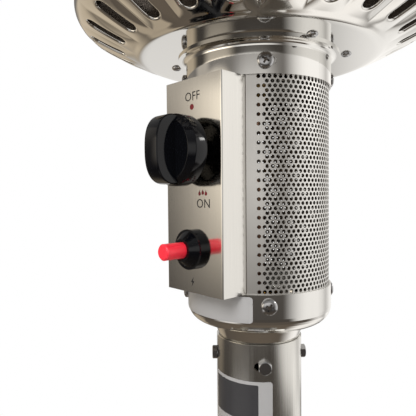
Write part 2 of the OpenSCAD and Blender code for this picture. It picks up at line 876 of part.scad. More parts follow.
module thermocouple() {
    bottom = z_knob + valve_h / 2;
    z_tip = z_tube_top + head_h * 0.8;
    color(copper) translate([sensor_x, sensor_y, 0]) {
        translate([0, 0, bottom]) cylinder(r = sensor_r, h = z_plate - bottom + 1);
        translate([0, 0, z_plate]) cylinder(r = tip_r, h = z_tip - z_plate);
        translate([0, 0, z_plate]) cylinder(r = tip_r + 2, h = gland_h);
        translate([0, 0, bottom]) cylinder(r = tip_r + 1, h = 2 * gland_h);
    }
}

module electrode() {
    z_ceramic = z_dish - ceramic_drop;
    z_tip = z_tube_top + head_h / 2;
    color(white) translate([-sensor_x, sensor_y, 0]) {
        translate([0, 0, z_ceramic]) cylinder(r = ceramic_r, h = z_dish + ceramic_rise - z_ceramic);
        translate([0, 0, z_plate]) cylinder(r = ceramic_collar_r, h = gland_h);
        translate([0, 0, z_ceramic - terminal_len]) cylinder(r = spark_pin_r * 1.8, h = terminal_len + 1);
        translate([0, 0, z_dish]) cylinder(r = spark_pin_r, h = z_tip - z_dish);
    }
}

// Two rivets on each side of the burner tube
module each_rivet() {
    for (azimuth = rivet_azimuths) around(2, azimuth) translate([rivet_r, 0, 0]) children();
}

// Holes for the burner tube, the thermocouple, the electrode and the rivets, through dish and burner plate
module burner_holes() {
    translate([0, 0, z_dish - 5]) {
        cylinder(r = tube_r + hole_gap, h = 12);
        translate([sensor_x, sensor_y, 0]) cylinder(r = sensor_r + hole_gap, h = 12);
        translate([-sensor_x, sensor_y, 0]) cylinder(r = ceramic_r + hole_gap, h = 12);
        each_rivet() cylinder(d = rivet_d / 2, h = 12);
    }
}

module burner_plate() {
    r = emitter_r - thin_t - nest_gap;
    color(brushed) difference() {
        spun([[tube_r, z_floor], [r, z_floor], [r, z_floor + plate_lip]], sheet_t);
        burner_holes();
    }
}

// Collar and dish

module collar_ring() {
    flare_z = z_dish - sheet_t - collar_flare;
    path = concat(
        [[cup_r, z_collar]],
        arc([cup_r + collar_flare, flare_z], collar_flare, 180, 90, 6),
        [[cup_r + collar_flare + 2, z_dish - sheet_t]]);
    color(polished) difference() {
        spun(path, sheet_t);
        around(4, screw_azimuth - collar_turn) translate([0, 0, z_collar + screw_lift])
            play_hole(cup_r, screw_d + hole_gap, slot_play);
    }
}

module collar_screws() {
    color(zinc) around(4, screw_azimuth - collar_turn) translate([cup_r, 0, z_collar + screw_lift])
        pan_screw(screw_len);
}

// The frame of one slot: x runs up the slope, z points into the dish
module on_slope() {
    translate([slot_start_r, 0, z_dish + (slot_start_r - dish_floor_r) * tan(dish_slope)])
        rotate([0, -dish_slope, 0]) children();
}

module burner_dish() {
    wall_start = dish_r - dish_bend * (1 - sin(dish_slope));
    bend_z = z_dish + (wall_start - dish_floor_r) * tan(dish_slope) + dish_bend * cos(dish_slope);
    path = concat(
        [[tube_r, z_dish], [dish_floor_r - floor_bend, z_dish]],
        [[dish_floor_r + floor_bend * cos(dish_slope), z_dish + floor_bend * sin(dish_slope)]],
        arc([dish_r - dish_bend, bend_z], dish_bend, dish_slope - 90, 0),
        [[dish_r, z_dish + dish_h]]);
    color(polished) difference() {
        union() {
            spun(path, sheet_t);
            translate([0, 0, z_dish + dish_h]) rotate_extrude() translate([dish_r, 0]) circle(r = rim_r);
            around(slot_count, slot_azimuth) on_slope() translate([0, 0, sheet_t / 2])
                linear_extrude(lip_h + sheet_t / 2) stadium(slot_len + 2 * sheet_t, slot_w + 2 * sheet_t);
        }
        around(slot_count, slot_azimuth) on_slope()
            linear_extrude(6 * lip_h, center = true) stadium(slot_len, slot_w);
        burner_holes();
    }
}

module dish_rivets() {
    color(zinc) translate([0, 0, z_dish]) each_rivet() {
        rotate_extrude() polygon(concat([[0, 0], [rivet_d / 2, 0]],
            [for (k = [1 : 5]) [rivet_d / 2 * cos(k * 18), -rivet_head_h * sin(k * 18)]]));
        translate([0, 0, -0.5]) cylinder(d = rivet_d / 2 - hole_gap, h = 2 * sheet_t + 2);
    }
}

// Emitter and reflector

module emitter_screen() {
    count = floor(2 * PI * emitter_r / screen_pitch);
    row_step = screen_pitch * sin(60);
    first = z_floor + plate_lip + screen_perf_d;
    rows = floor((z_emitter - cap_skirt - screen_perf_d - first) / row_step);
    color(brushed) difference() {
        translate([0, 0, z_floor]) cylinder(r = emitter_r, h = emitter_h);
        translate([0, 0, z_floor - 1]) cylinder(r = emitter_r - thin_t, h = emitter_h + 2);
        for (row = [0 : rows]) around(count, (row % 2) * 180 / count)
            translate([0, 0, first + row * row_step]) wall_hole(emitter_r, screen_perf_d, 4);
    }
}

module stud_hole(depth = 8) {
    cylinder(r = stud_r + hole_gap / 2, h = depth, center = true);
}

module emitter_cap() {
    r = emitter_r + nest_gap + sheet_t;
    color(polished) difference() {
        spun([[r, z_emitter - cap_skirt], [r, z_lid], [0, z_lid]], sheet_t);
        around(stud_count, 0) translate([stud_ring_r, 0, z_lid]) stud_hole();
    }
}

module reflector_bolts() {
    reach = sheet_t + reflector_gap + sheet_t + nut_hub_h + stud_end;
    color(zinc) around(stud_count, 0) translate([stud_ring_r, 0, z_emitter]) rotate([0, 90, 0])
        hex_bolt(bolt_head_h, reach);
}

module stud_spacers() {
    color(zinc) around(stud_count, 0) translate([stud_ring_r, 0, z_lid]) difference() {
        cylinder(r = spacer_r, h = reflector_gap);
        stud_hole(3 * reflector_gap);
    }
}

module reflector() {
    rim = reflector_d / 2;
    path = concat(
        [[0, z_crown], [crown_r, z_crown]],
        [for (k = [1 : 12]) let (share = k / 12)
            [crown_r + (rim - crown_r) * share, z_crown - reflector_drop * pow(share, 1.5)]],
        [[rim + 1, z_crown - reflector_drop - rim_lip]]);
    color(polished) difference() {
        spun(path, sheet_t);
        around(stud_count, 0) translate([stud_ring_r, 0, z_crown]) stud_hole();
    }
}

module wing_nuts() {
    color(zinc) around(stud_count, 0) translate([stud_ring_r, 0, z_crown + sheet_t]) difference() {
        union() {
            cylinder(r = nut_hub_r, h = nut_hub_h);
            for (s = [-1, 1]) translate([0, s * (nut_hub_r + wing_r - 3), nut_hub_h + 1]) rotate([0, 90, 0])
                cylinder(r = wing_r, h = wing_t, center = true);
        }
        stud_hole(3 * nut_hub_h);
    }
}

rubber_feet();
base_weight();
base_cover();
tank_housing();
housing_screws();
housing_cone();
pole_socket();
flange_bolts();
cylinder_cradle();
gas_cylinder();
regulator_handwheel();
regulator_body();
gas_pipe();
pole();
pole_foot_bolts();
pole_top_bolts();
lower_cup();
cup_screws();
perforated_shroud();
control_box();
gas_valve();
valve_stem();
stem_clip();
control_knob();
igniter_body();
igniter_nut();
igniter_button();
igniter_wire();
tilt_switch();
burner_feed_pipe();
burner_jet();
burner_tube();
burner_head();
thermocouple();
electrode();
collar_ring();
collar_screws();
burner_dish();
dish_rivets();
burner_plate();
emitter_screen();
emitter_cap();
reflector_bolts();
stud_spacers();
reflector();
wing_nuts();
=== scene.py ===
"""Looks of a tabletop propane patio heater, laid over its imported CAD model."""

import math
from typing import NamedTuple

import bmesh
import bpy
from bpy.props import FloatProperty, FloatVectorProperty, IntProperty, PointerProperty
from mathutils import Matrix, Vector


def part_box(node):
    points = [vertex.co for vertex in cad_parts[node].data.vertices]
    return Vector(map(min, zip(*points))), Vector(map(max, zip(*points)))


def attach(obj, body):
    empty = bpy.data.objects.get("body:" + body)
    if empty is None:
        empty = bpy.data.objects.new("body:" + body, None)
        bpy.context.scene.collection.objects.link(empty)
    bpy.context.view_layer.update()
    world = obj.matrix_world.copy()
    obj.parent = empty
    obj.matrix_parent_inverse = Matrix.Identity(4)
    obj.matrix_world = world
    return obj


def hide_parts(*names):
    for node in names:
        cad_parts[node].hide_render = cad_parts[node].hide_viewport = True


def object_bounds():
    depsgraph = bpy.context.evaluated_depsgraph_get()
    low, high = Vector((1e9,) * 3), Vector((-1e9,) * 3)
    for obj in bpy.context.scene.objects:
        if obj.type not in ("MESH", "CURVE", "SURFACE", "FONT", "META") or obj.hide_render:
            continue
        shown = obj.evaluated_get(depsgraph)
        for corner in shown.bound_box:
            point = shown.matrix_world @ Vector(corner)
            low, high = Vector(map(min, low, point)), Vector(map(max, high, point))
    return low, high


bl_info = {
    "name": "Patio Heater Looks",
    "version": (1, 0, 0),
    "blender": (4, 5, 0),
    "location": "View3D > Sidebar > Heater",
    "description": "Finishes, fine sheet-metal work, printed marks and the studio of a tabletop gas heater",
    "category": "Object",
}

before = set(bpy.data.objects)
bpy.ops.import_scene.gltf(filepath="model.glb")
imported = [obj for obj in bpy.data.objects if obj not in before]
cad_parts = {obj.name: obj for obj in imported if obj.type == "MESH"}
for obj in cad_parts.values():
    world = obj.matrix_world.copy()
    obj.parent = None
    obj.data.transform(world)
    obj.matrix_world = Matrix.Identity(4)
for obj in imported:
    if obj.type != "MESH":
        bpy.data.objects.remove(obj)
CAD_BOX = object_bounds()

MM = 0.001
TURN = 2 * math.pi
WELD = 0.02 * MM
FINE_WELD = 0.001 * MM
HEATER = "heater"
KNOB = "knob"

BOX_LOW, BOX_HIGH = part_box("control_box")
SHROUD_LOW, SHROUD_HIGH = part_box("perforated_shroud")
SCREEN_LOW, SCREEN_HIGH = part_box("emitter_screen")
DISH_LOW, DISH_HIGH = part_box("burner_dish")
KNOB_LOW, KNOB_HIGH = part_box("control_knob")
REFLECTOR_LOW, REFLECTOR_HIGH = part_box("reflector")
CUP_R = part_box("lower_cup")[1].x
POLE_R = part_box("pole")[1].x

PANEL_Y = BOX_LOW.y
CUP_TOP = BOX_LOW.z
COLLAR_BOTTOM = BOX_HIGH.z
KNOB_Z = (KNOB_LOW.z + KNOB_HIGH.z) / 2
KNOB_REACH = KNOB_HIGH.y - KNOB_LOW.y


def length(name, description, millimetres):
    """A length property, given in millimetres."""
    return FloatProperty(name=name, description=description, default=millimetres * MM, unit="LENGTH",
                         precision=5)


def angle(name, description, degrees):
    """An angle property, given in degrees."""
    return FloatProperty(name=name, description=description, default=math.radians(degrees), unit="ROTATION")


def count(name, description, default):
    """A property that counts what repeats."""
    return IntProperty(name=name, description=description, default=default, min=6)


def colour(name, description, default):
    """A colour property."""
    return FloatVectorProperty(name=name, description=description, default=default, subtype="COLOR",
                               size=3, min=0, max=1)


class HeaterSheetSizes(bpy.types.PropertyGroup):
    """Sizes of the perforated sheets, the burner dish and the reflector."""
    hole_d: length("Shroud hole", "Diameter of a hole in the shroud", 2.55)
    rear_hole_d: length("Rear hole", "Diameter of a hole in the shroud's rear half", 1.0)
    row_pitch: length("Shroud row pitch", "Height from one row of holes to the next", 2.836)
    first_row: length("First row", "Height of the lowest row above the cup", 1.67)
    rows: count("Shroud rows", "Rows of holes in the shroud", 47)
    columns: count("Shroud columns", "Hole pitches round the shroud", 70)
    cut_half: angle("Opening half angle", "Half of the shroud's front opening", 32.4)
    first_column: angle("First column", "Azimuth of the first column of holes", 41.3)
    sheet: length("Thin sheet", "Thickness of the perforated sheets", 0.8)
    screen_hole_d: length("Screen hole", "Diameter of a hole in the heat screen", 2.0)
    screen_pitch: length("Screen pitch", "Distance between holes of the heat screen", 5.0)
    slot_count: count("Dish slots", "Slots round the burner dish", 24)
    slot_azimuth: angle("First slot", "Azimuth of the dish's first slot", 4)
    slot_length: length("Slot length", "Length of a dish slot up the slope", 26)
    slot_width: length("Slot width", "Width of a dish slot", 9)
    slot_r: length("Slot radius", "Radius of the slot's middle", 103.75)
    floor_r: length("Dish floor radius", "Radius of the dish's flat floor", 81.75)
    dish_r: length("Dish radius", "Radius of the dish's upright wall", 123.5)
    dish_hole_r: length("Dish hole radius", "Radius of the hole for the mixing tube", 15)
    dish_slope: angle("Dish slope", "Slope of the dish's slotted band", 27)
    dish_bend: length("Dish bend", "Bend between the slope and the wall", 11)
    rim_r: length("Rim bead", "Radius of the rolled rim", 2.4)
    dish_sheet: length("Dish sheet", "Thickness of the dish's sheet", 1.2)
    bulge: length("Panel bulge", "How far a slotted panel bulges out between its creases", 1.6)
    lip_depth: length("Slot lip", "Depth of the lip turned into the dish round a slot", 8.8)
    crown_r: length("Crown radius", "Radius of the reflector's flat crown", 62)
    reflector_lip: length("Reflector lip", "Depth of the lip turned down round the reflector", 9.2)
    reflector_sheet: length("Reflector sheet", "Thickness of the reflector's sheet", 1.2)


class HeaterControlSizes(bpy.types.PropertyGroup):
    """Sizes of the knob, the fasteners and the printed marks."""
    grip_width: length("Grip width", "Width of the knob's grip bar", 12)
    skirt_depth: length("Skirt depth", "Straight part of the knob's skirt", 8.7)
    chamfer: length("Skirt chamfer", "Chamfer round the knob's front", 3.4)
    screw_head_d: length("Screw head", "Diameter of a pan head", 10)
    screw_head_h: length("Screw head height", "Height of a pan head", 3.2)
    screw_azimuth: angle("Screw azimuth", "Azimuth of the first cup screw and pole bolt", 48)
    collar_azimuth: angle("Collar screw azimuth", "Azimuth of the first collar screw", 46)
    bolt_af: length("Bolt head", "Width of a bolt head across its flats", 8.4)
    bolt_head_h: length("Bolt head height", "Height of a bolt head", 3.4)
    letter_h: length("Letter height", "Height of the printed letters", 5.6)
    dot_d: length("Dot", "Diameter of the printed dot", 3.6)


class HeaterFinish(bpy.types.PropertyGroup):
    """Colours of the finishes."""
    polished: colour("Polished steel", "Colour of the polished sheet", (0.80, 0.79, 0.765))
    # Besides the flame's tint on the burner parts, this colour paints shade on inner sides, slot lips, screw
    # recesses and hidden shroud edges
    heated: colour("Heated steel", "Colour of the sheet dulled by the flame", (0.23, 0.20, 0.175))
    brushed: colour("Brushed steel", "Colour of the brushed sheet", (0.74, 0.725, 0.69))
    plated: colour("Plated steel", "Colour of the zinc-plated parts", (0.50, 0.50, 0.51))
    knob: colour("Black plastic", "Colour of the knob and the nut", (0.002, 0.0023, 0.0035))
    button: colour("Red plastic", "Colour of the igniter's rod", (0.95, 0.028, 0.055))
    cylinder: colour("Cylinder paint", "Paint of the gas cylinder", (0.045, 0.12, 0.055))
    ink: colour("Ink", "Printed letters", (0.012, 0.012, 0.014))
    red_ink: colour("Red ink", "Printed dot and flames", (0.156, 0.004, 0.010))
    # Grey paper: painted shade standing in for the shadow under the control box
    label: colour("Label", "Paper of the blank labels", (0.41, 0.41, 0.42))


class HeaterStage(bpy.types.PropertyGroup):
    """Camera and floor."""
    eye: FloatVectorProperty(name="Camera place", description="Where the camera stands", size=3,
                             default=(0.2095, -0.2440, 0.59767), subtype="TRANSLATION", unit="LENGTH")
    heading: angle("Camera heading", "Turn of the view to the left of straight back", 47.02)
    pitch: angle("Camera pitch", "Tilt of the view", -1.95)
    roll: angle("Camera roll", "Roll of the view", -0.5)
    lens: FloatProperty(name="Lens", description="Focal length on a 36 mm frame", default=38.78)
    floor_r: length("Floor radius", "Radius of the pale floor", 840)
    floor: colour("Floor", "Colour of the floor", (0.82, 0.82, 0.815))


# Node helpers

NUMBER = "NodeSocketFloat"
WHOLE = "NodeSocketInt"
VECTOR = "NodeSocketVector"
SHAPE = "NodeSocketGeometry"
PIECE = "NodeSocketObject"
FINISH = "NodeSocketMaterial"


def feed(tree, node, inputs):
    """Link a node's inputs to sockets, or set them to plain values."""
    for name, value in inputs.items():
        if isinstance(value, bpy.types.NodeSocket):
            tree.links.new(value, node.inputs[name])
        else:
            node.inputs[name].default_value = value


def add(tree, kind, inputs=None, **settings):
    """Add a node with its settings and inputs."""
    node = tree.nodes.new(kind)
    for name, value in settings.items():
        setattr(node, name, value)
    feed(tree, node, inputs or {})
    return node


def made(tree, kind, inputs=None, **settings):
    """Add a node; returns its first output."""
    return add(tree, kind, inputs, **settings).outputs[0]


def maths(tree):
    """A function that adds one sum to a tree, of terms that are sockets or numbers."""
    def sum_of(operation, *terms):
        return made(tree, "ShaderNodeMath", dict(enumerate(terms)), operation=operation)
    return sum_of


def shared_tree(name, kind, inputs, outputs):
    """Let a function build one node group, with these sockets, when it is first asked for."""
    def wrap(build):
        def get():
            tree = bpy.data.node_groups.get(name)
            if tree:
                return tree
            tree = bpy.data.node_groups.new(name, kind)
            for in_out, sockets in (("INPUT", inputs), ("OUTPUT", outputs)):
                for socket_type, names in sockets.items():
                    for socket in names:
                        tree.interface.new_socket(name=socket, in_out=in_out, socket_type=socket_type)
            given = tree.nodes.new("NodeGroupInput").outputs
            add(tree, "NodeGroupOutput", build(tree, maths(tree), given))
            return tree
        return get
    return wrap


# Shader node groups


@shared_tree("brushed grain", "ShaderNodeTree",
             {VECTOR: ["Vector"], NUMBER: ["Across", "Along", "Rough", "Spread"]},
             {NUMBER: ["Roughness", "Height", "Tint"]})
def brushed_grain(tree, m, given):
    """Fine lines along z: roughness, height and tint that change across the lines."""
    stretch = made(tree, "ShaderNodeCombineXYZ", {0: given["Across"], 1: given["Across"], 2: given["Along"]})
    place = made(tree, "ShaderNodeVectorMath", {0: given["Vector"], 1: stretch}, operation="MULTIPLY")
    lines = made(tree, "ShaderNodeTexNoise", {"Vector": place, "Scale": 1.0, "Detail": 4.0, "Roughness": 0.7})
    swing = m("MULTIPLY", m("SUBTRACT", lines, 0.5), given["Spread"])
    tint = made(tree, "ShaderNodeMapRange", {"Value": lines, "From Min": 0.3, "From Max": 0.7})
    return {"Roughness": m("ADD", swing, given["Rough"]), "Height": lines, "Tint": tint}


@shared_tree("handling marks", "ShaderNodeTree", {VECTOR: ["Vector"], NUMBER: ["Size", "Amount"]},
             {NUMBER: ["Smear"]})
def handling_marks(tree, m, given):
    """Soft cloudy smears left by hands."""
    cloud = made(tree, "ShaderNodeTexNoise", {"Vector": given["Vector"], "Scale": given["Size"],
                                              "Detail": 5.0, "Roughness": 0.55, "Distortion": 0.6})
    smear = made(tree, "ShaderNodeMapRange", {"Value": cloud, "From Min": 0.45, "From Max": 0.75})
    return {"Smear": m("MULTIPLY", smear, given["Amount"])}


@shared_tree("moulded grain", "ShaderNodeTree", {VECTOR: ["Vector"], NUMBER: ["Size", "Rough", "Spread"]},
             {NUMBER: ["Roughness", "Height", "Cloud"]})
def moulded_grain(tree, m, given):
    """Slight orange peel and flow marks of a moulded or painted skin."""
    peel = made(tree, "ShaderNodeTexNoise", {"Vector": given["Vector"], "Scale": given["Size"], "Detail": 3.0,
                                             "Roughness": 0.5})
    broad = m("MULTIPLY", given["Size"], 0.06)
    cloud = made(tree, "ShaderNodeTexNoise", {"Vector": given["Vector"], "Scale": broad, "Detail": 3.0})
    swing = m("MULTIPLY", m("SUBTRACT", cloud, 0.5), given["Spread"])
    return {"Roughness": m("ADD", swing, given["Rough"]), "Height": peel, "Cloud": cloud}


# Finishes

FINISHES = {}
SMEAR_SIZE = 24.0
GRAIN_DEPTH = 0.2 * MM
SKIN_DEPTH = 0.3 * MM
COAT_ROUGHNESS = 0.06


def blank_finish(name):
    """A material; returns it, its tree, its Principled shader and object coordinates."""
    material = bpy.data.materials.new(name)
    material.use_nodes = True
    tree = material.node_tree
    tree.nodes.clear()
    shader = tree.nodes.new("ShaderNodeBsdfPrincipled")
    add(tree, "ShaderNodeOutputMaterial", {"Surface": shader.outputs["BSDF"]})
    return material, tree, shader, tree.nodes.new("ShaderNodeTexCoord").outputs["Object"]


def two_tones(tree, factor, dark, light):
    """A colour between two tones."""
    return add(tree, "ShaderNodeMix", {0: factor, 6: (*dark, 1), 7: (*light, 1)}, data_type="RGBA").outputs[2]


def shade_of(tone, share):
    """A tone made darker or lighter."""
    return tuple(min(1.0, part * share) for part in tone)


def steel_finish(name, tone, across, along, rough, spread, depth, smear, shade=0.93, spun=False):
    """Bare metal with a grain along z, or in rings where it is spun, and smears."""
    material, tree, shader, place = blank_finish(name)
    run = place
    if spun:
        level = made(tree, "ShaderNodeVectorMath", {0: place, 1: (1, 1, 0)}, operation="MULTIPLY")
        radius = add(tree, "ShaderNodeVectorMath", {0: level}, operation="LENGTH").outputs["Value"]
        run = made(tree, "ShaderNodeCombineXYZ", {0: radius})
    grain = add(tree, "ShaderNodeGroup", {"Vector": run, "Across": across, "Along": along, "Rough": rough,
                                          "Spread": spread}, node_tree=brushed_grain()).outputs
    smears = made(tree, "ShaderNodeGroup", {"Vector": place, "Size": SMEAR_SIZE, "Amount": smear},
                  node_tree=handling_marks())
    feed(tree, shader, {
        "Metallic": 1.0,
        "Base Color": two_tones(tree, grain["Tint"], shade_of(tone, shade), tone),
        "Roughness": maths(tree)("ADD", grain["Roughness"], smears),
        "Normal": made(tree, "ShaderNodeBump", {"Strength": depth, "Distance": GRAIN_DEPTH,
                                                "Height": grain["Height"]}),
    })
    return material


def moulded_finish(name, tone, size, rough, spread, depth, coat=0.0, shade=0.85, metallic=0.0, gloss=0.5):
    """Plastic, rubber, paint or casting with its skin grain and a cloudy tone."""
    material, tree, shader, place = blank_finish(name)
    grain = add(tree, "ShaderNodeGroup", {"Vector": place, "Size": size, "Rough": rough, "Spread": spread},
                node_tree=moulded_grain()).outputs
    feed(tree, shader, {
        "Metallic": metallic,
        "Coat Weight": coat,
        "Coat Roughness": COAT_ROUGHNESS,
        "Specular IOR Level": gloss,
        "Base Color": two_tones(tree, grain["Cloud"], shade_of(tone, shade), shade_of(tone, 2 - shade)),
        "Roughness": grain["Roughness"],
        "Normal": made(tree, "ShaderNodeBump", {"Strength": depth, "Distance": SKIN_DEPTH,
                                                "Height": grain["Height"]}),
    })
    return material


def make_finishes(f):
    """All finishes by name."""
    # Tone, grain across and along, roughness, its spread, grain strength, smears, dark share, spun
    steels = {
        "polished_steel": (f.polished, 1500, 25, 0.045, 0.03, 0.02, 0.04, 0.97),
        "brushed_steel": (f.brushed, 2600, 18, 0.20, 0.16, 0.10, 0.05),
        "panel_steel": (f.brushed, 3200, 14, 0.12, 0.07, 0.03, 0.03),
        "pole_steel": (f.brushed, 1400, 6, 0.20, 0.16, 0.16, 0.05, 0.88),
        "perforated_steel": (f.polished, 2600, 30, 0.36, 0.12, 0.05, 0.05),
        "spun_steel": (f.polished, 900, 0, 0.13, 0.10, 0.05, 0.05, 0.93, True),
        "heated_steel": (f.heated, 900, 500, 0.45, 0.20, 0.08, 0.15, 0.6),
        "plated_steel": (f.plated, 900, 700, 0.18, 0.08, 0.04, 0.04),
        "brass": ((0.72, 0.50, 0.20), 1200, 400, 0.25, 0.14, 0.06, 0.10, 0.85),
        "copper": ((0.36, 0.21, 0.14), 1200, 200, 0.32, 0.16, 0.05, 0.14, 0.70),
    }
    # Tone, grain size, roughness, its spread, grain strength, coat, dark share, metal share, gloss
    skins = {
        "cast_iron": ((0.045, 0.044, 0.045), 900, 0.62, 0.30, 0.55, 0.0, 0.6, 0.4),
        "rubber": ((0.016, 0.016, 0.017), 1500, 0.70, 0.25, 0.35),
        "black_plastic": (f.knob, 2200, 0.09, 0.04, 0.02, 0.0, 0.85, 0.0, 0.32),
        "red_plastic": (f.button, 2600, 0.32, 0.10, 0.06, 0.15, 0.95),
        "cylinder_paint": (f.cylinder, 700, 0.28, 0.14, 0.10, 0.4, 0.9),
        "wire_insulation": ((0.62, 0.60, 0.57), 1800, 0.45, 0.20, 0.08),
        "ceramic": ((0.80, 0.78, 0.73), 1200, 0.22, 0.12, 0.05, 0.3, 0.95),
        # The label's grey paper is painted shade, standing in for the shadow under the control box
        "label": (f.label, 1400, 0.42, 0.12, 0.05, 0.1, 0.98),
        "label_block": ((0.045, 0.045, 0.05), 1400, 0.40, 0.12, 0.05, 0.1),
        "ink": (f.ink, 3000, 0.45, 0.15, 0.05),
        "red_ink": (f.red_ink, 3000, 0.42, 0.15, 0.05, 0.0, 0.92),
    }
    return {name: finish(name.replace("_", " "), *row)
            for finish, table in ((steel_finish, steels), (moulded_finish, skins))
            for name, row in table.items()}


# Mesh helpers


def smooth_up_to(mesh, degrees):
    """Shade a mesh smooth except at its sharper edges."""
    mesh.shade_smooth()
    mesh.set_sharp_from_angle(angle=math.radians(degrees))


def new_piece(name, shape, finish=None, smooth=40):
    """A piece from a mesh or a bmesh, with its finish, smooth up to an edge angle in degrees."""
    mesh = shape
    if isinstance(shape, bmesh.types.BMesh):
        mesh = bpy.data.meshes.new(name)
        shape.to_mesh(mesh)
        shape.free()
    mesh.name = name
    if smooth:
        smooth_up_to(mesh, smooth)
    if finish:
        mesh.materials.clear()
        mesh.materials.append(FINISHES[finish])
    piece = bpy.data.objects.new(name, mesh)
    bpy.context.scene.collection.objects.link(piece)
    return piece


def plain_mesh(item):
    """An object's final shape as a mesh of its own."""
    bpy.context.view_layer.update()
    return bpy.data.meshes.new_from_object(item.evaluated_get(bpy.context.evaluated_depsgraph_get()))


def settle(piece):
    """Turn a piece's modifiers into plain mesh."""
    old, shape = piece.data, plain_mesh(piece)
    piece.modifiers.clear()
    piece.data = shape
    shape.name = piece.name
    bpy.data.meshes.remove(old)
    return piece


def put_on(piece, body, slot, *nodes):
    """Let a piece ride on a body and stand for CAD nodes; its slot argument is not used."""
    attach(piece, body)
    if nodes:
        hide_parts(*nodes)


def round_point(radius, azimuth, z):
    """A point by its radius, its azimuth from the front towards the right, and its height."""
    return Vector((radius * math.sin(azimuth), -radius * math.cos(azimuth), z))


def round_rows(bm, profile, turns):
    """Rows of vertices round the heater's axis, one for each [radius, height] of a profile."""
    return [[bm.verts.new(round_point(radius, turn, z)) for turn in turns] for radius, z in profile]


def join_rows(bm, rows, ring=False):
    """Faces between neighbouring rows of vertices, whose ends meet where they are rings."""
    faces = []
    for near, far in zip(rows, rows[1:]):
        for k in range(len(near) if ring else len(near) - 1):
            n = (k + 1) % len(near)
            corners = tuple(dict.fromkeys((near[k], near[n], far[n], far[k])))
            if len(corners) > 2:
                faces.append(bm.faces.new(corners))
    return faces


def outwards(bm):
    """Turn a closed shape's faces outwards."""
    bmesh.ops.recalc_face_normals(bm, faces=bm.faces)
    return bm


def facing(bm, weld, end):
    """Weld an open sheet and turn its lowest face down (end -1) or its highest face up (end 1)."""
    bmesh.ops.remove_doubles(bm, verts=bm.verts, dist=weld)
    outwards(bm)
    if end * max(bm.faces, key=lambda face: end * face.calc_center_median().z).normal.z < 0:
        bmesh.ops.reverse_faces(bm, faces=bm.faces)
    return bm


def shares(steps):
    """Even shares from nought to one."""
    return [k / steps for k in range(steps + 1)]


def circle(radius, sides, start=0.0):
    """Points of a flat circle."""
    turns = [start + TURN * k / sides for k in range(sides)]
    return [(radius * math.cos(a), radius * math.sin(a)) for a in turns]


def edge_round(radius, steps):
    """How far a rounded edge is set in and sunk, from its side to its face."""
    turns = [math.pi / 2 * share for share in shares(steps)]
    return [(radius * (1 - math.cos(a)), radius * (1 - math.sin(a))) for a in turns]


def turned(profile, segments):
    """A bmesh turned about the axis that points out of the panel (-y), from [radius, out] points."""
    bm = bmesh.new()
    rings = []
    for radius, out in profile:
        ring = [bm.verts.new((x, -out, z)) for x, z in circle(radius, segments if radius else 1)]
        rings.append(ring * (segments // len(ring)))
    join_rows(bm, rings, ring=True)
    return outwards(bm)


def cut_by(base, cutter, operation):
    """Boolean of two bmeshes; returns the resulting mesh."""
    piece = new_piece("blank", base, smooth=0)
    tool = new_piece("tool", cutter, smooth=0)
    boolean = piece.modifiers.new("cut", "BOOLEAN")
    boolean.operation = operation
    boolean.solver = "EXACT"
    boolean.object = tool
    mesh = settle(piece).data
    for item in (piece, tool):
        bpy.data.objects.remove(item)
    return mesh


# Geometry node trees


def run_tree(piece, tree, values):
    """Put a tree on a piece with its named inputs set, and settle it."""
    modifier = piece.modifiers.new(tree.name, "NODES")
    modifier.node_group = tree
    names = {item.name: item.identifier for item in tree.interface.items_tree if item.in_out == "INPUT"}
    for name, value in values.items():
        modifier[names[name]] = value
    return settle(piece)


def round_place(tree, m, turn, radius, height):
    """A place by its azimuth from the front, its radius and its height."""
    x = m("MULTIPLY", m("SINE", turn), radius)
    y = m("MULTIPLY", m("MULTIPLY", m("COSINE", turn), radius), -1.0)
    return made(tree, "ShaderNodeCombineXYZ", {0: x, 1: y, 2: height})


def joined(tree, shapes):
    """Several shapes as one."""
    join = tree.nodes.new("GeometryNodeJoinGeometry")
    for shape in shapes:
        tree.links.new(shape, join.inputs[0])
    return join.outputs[0]


def welded(tree, shape, distance):
    """A shape with its close vertices merged."""
    return made(tree, "GeometryNodeMergeByDistance", {"Geometry": shape, "Distance": distance})


@shared_tree("round the axis", "GeometryNodeTree",
             {SHAPE: ["Shape"], WHOLE: ["Count"], NUMBER: ["Radius", "Height", "Azimuth", "Weld"],
              FINISH: ["Finish"]}, {SHAPE: ["Ring"]})
def ring_tree(tree, m, given):
    """Copies of a shape round the heater's axis, each turned to face outwards."""
    index = made(tree, "GeometryNodeInputIndex")
    turn = m("ADD", m("MULTIPLY", index, m("DIVIDE", TURN, given["Count"])), given["Azimuth"])
    spot = round_place(tree, m, turn, given["Radius"], given["Height"])
    points = made(tree, "GeometryNodePoints", {"Count": given["Count"], "Position": spot})
    aim = made(tree, "ShaderNodeCombineXYZ", {2: turn})
    copies = made(tree, "GeometryNodeInstanceOnPoints", {"Points": points, "Instance": given["Shape"],
                                                         "Rotation": aim})
    solid = made(tree, "GeometryNodeRealizeInstances", {"Geometry": copies})
    return {"Ring": made(tree, "GeometryNodeSetMaterial", {"Geometry": welded(tree, solid, given["Weld"]),
                                                           "Material": given["Finish"]})}


def hole_points(tree, m, given, parity, first_row, shift):
    """Grid points for every second row of holes, flat in x and z."""
    per_row = given[f"{parity} Columns"]
    index = made(tree, "GeometryNodeInputIndex")
    column = m("ADD", m("MODULO", index, per_row), shift)
    row = m("ADD", m("MULTIPLY", m("FLOOR", m("DIVIDE", index, per_row)), 2.0), first_row)
    x = m("ADD", m("MULTIPLY", column, given["Hole Pitch"]), given["First Column"])
    z = m("ADD", m("MULTIPLY", row, given["Row Pitch"]), given["First Row"])
    return made(tree, "GeometryNodePoints", {"Count": m("MULTIPLY", per_row, given[f"{parity} Rows"]),
                                             "Position": made(tree, "ShaderNodeCombineXYZ", {0: x, 2: z})})


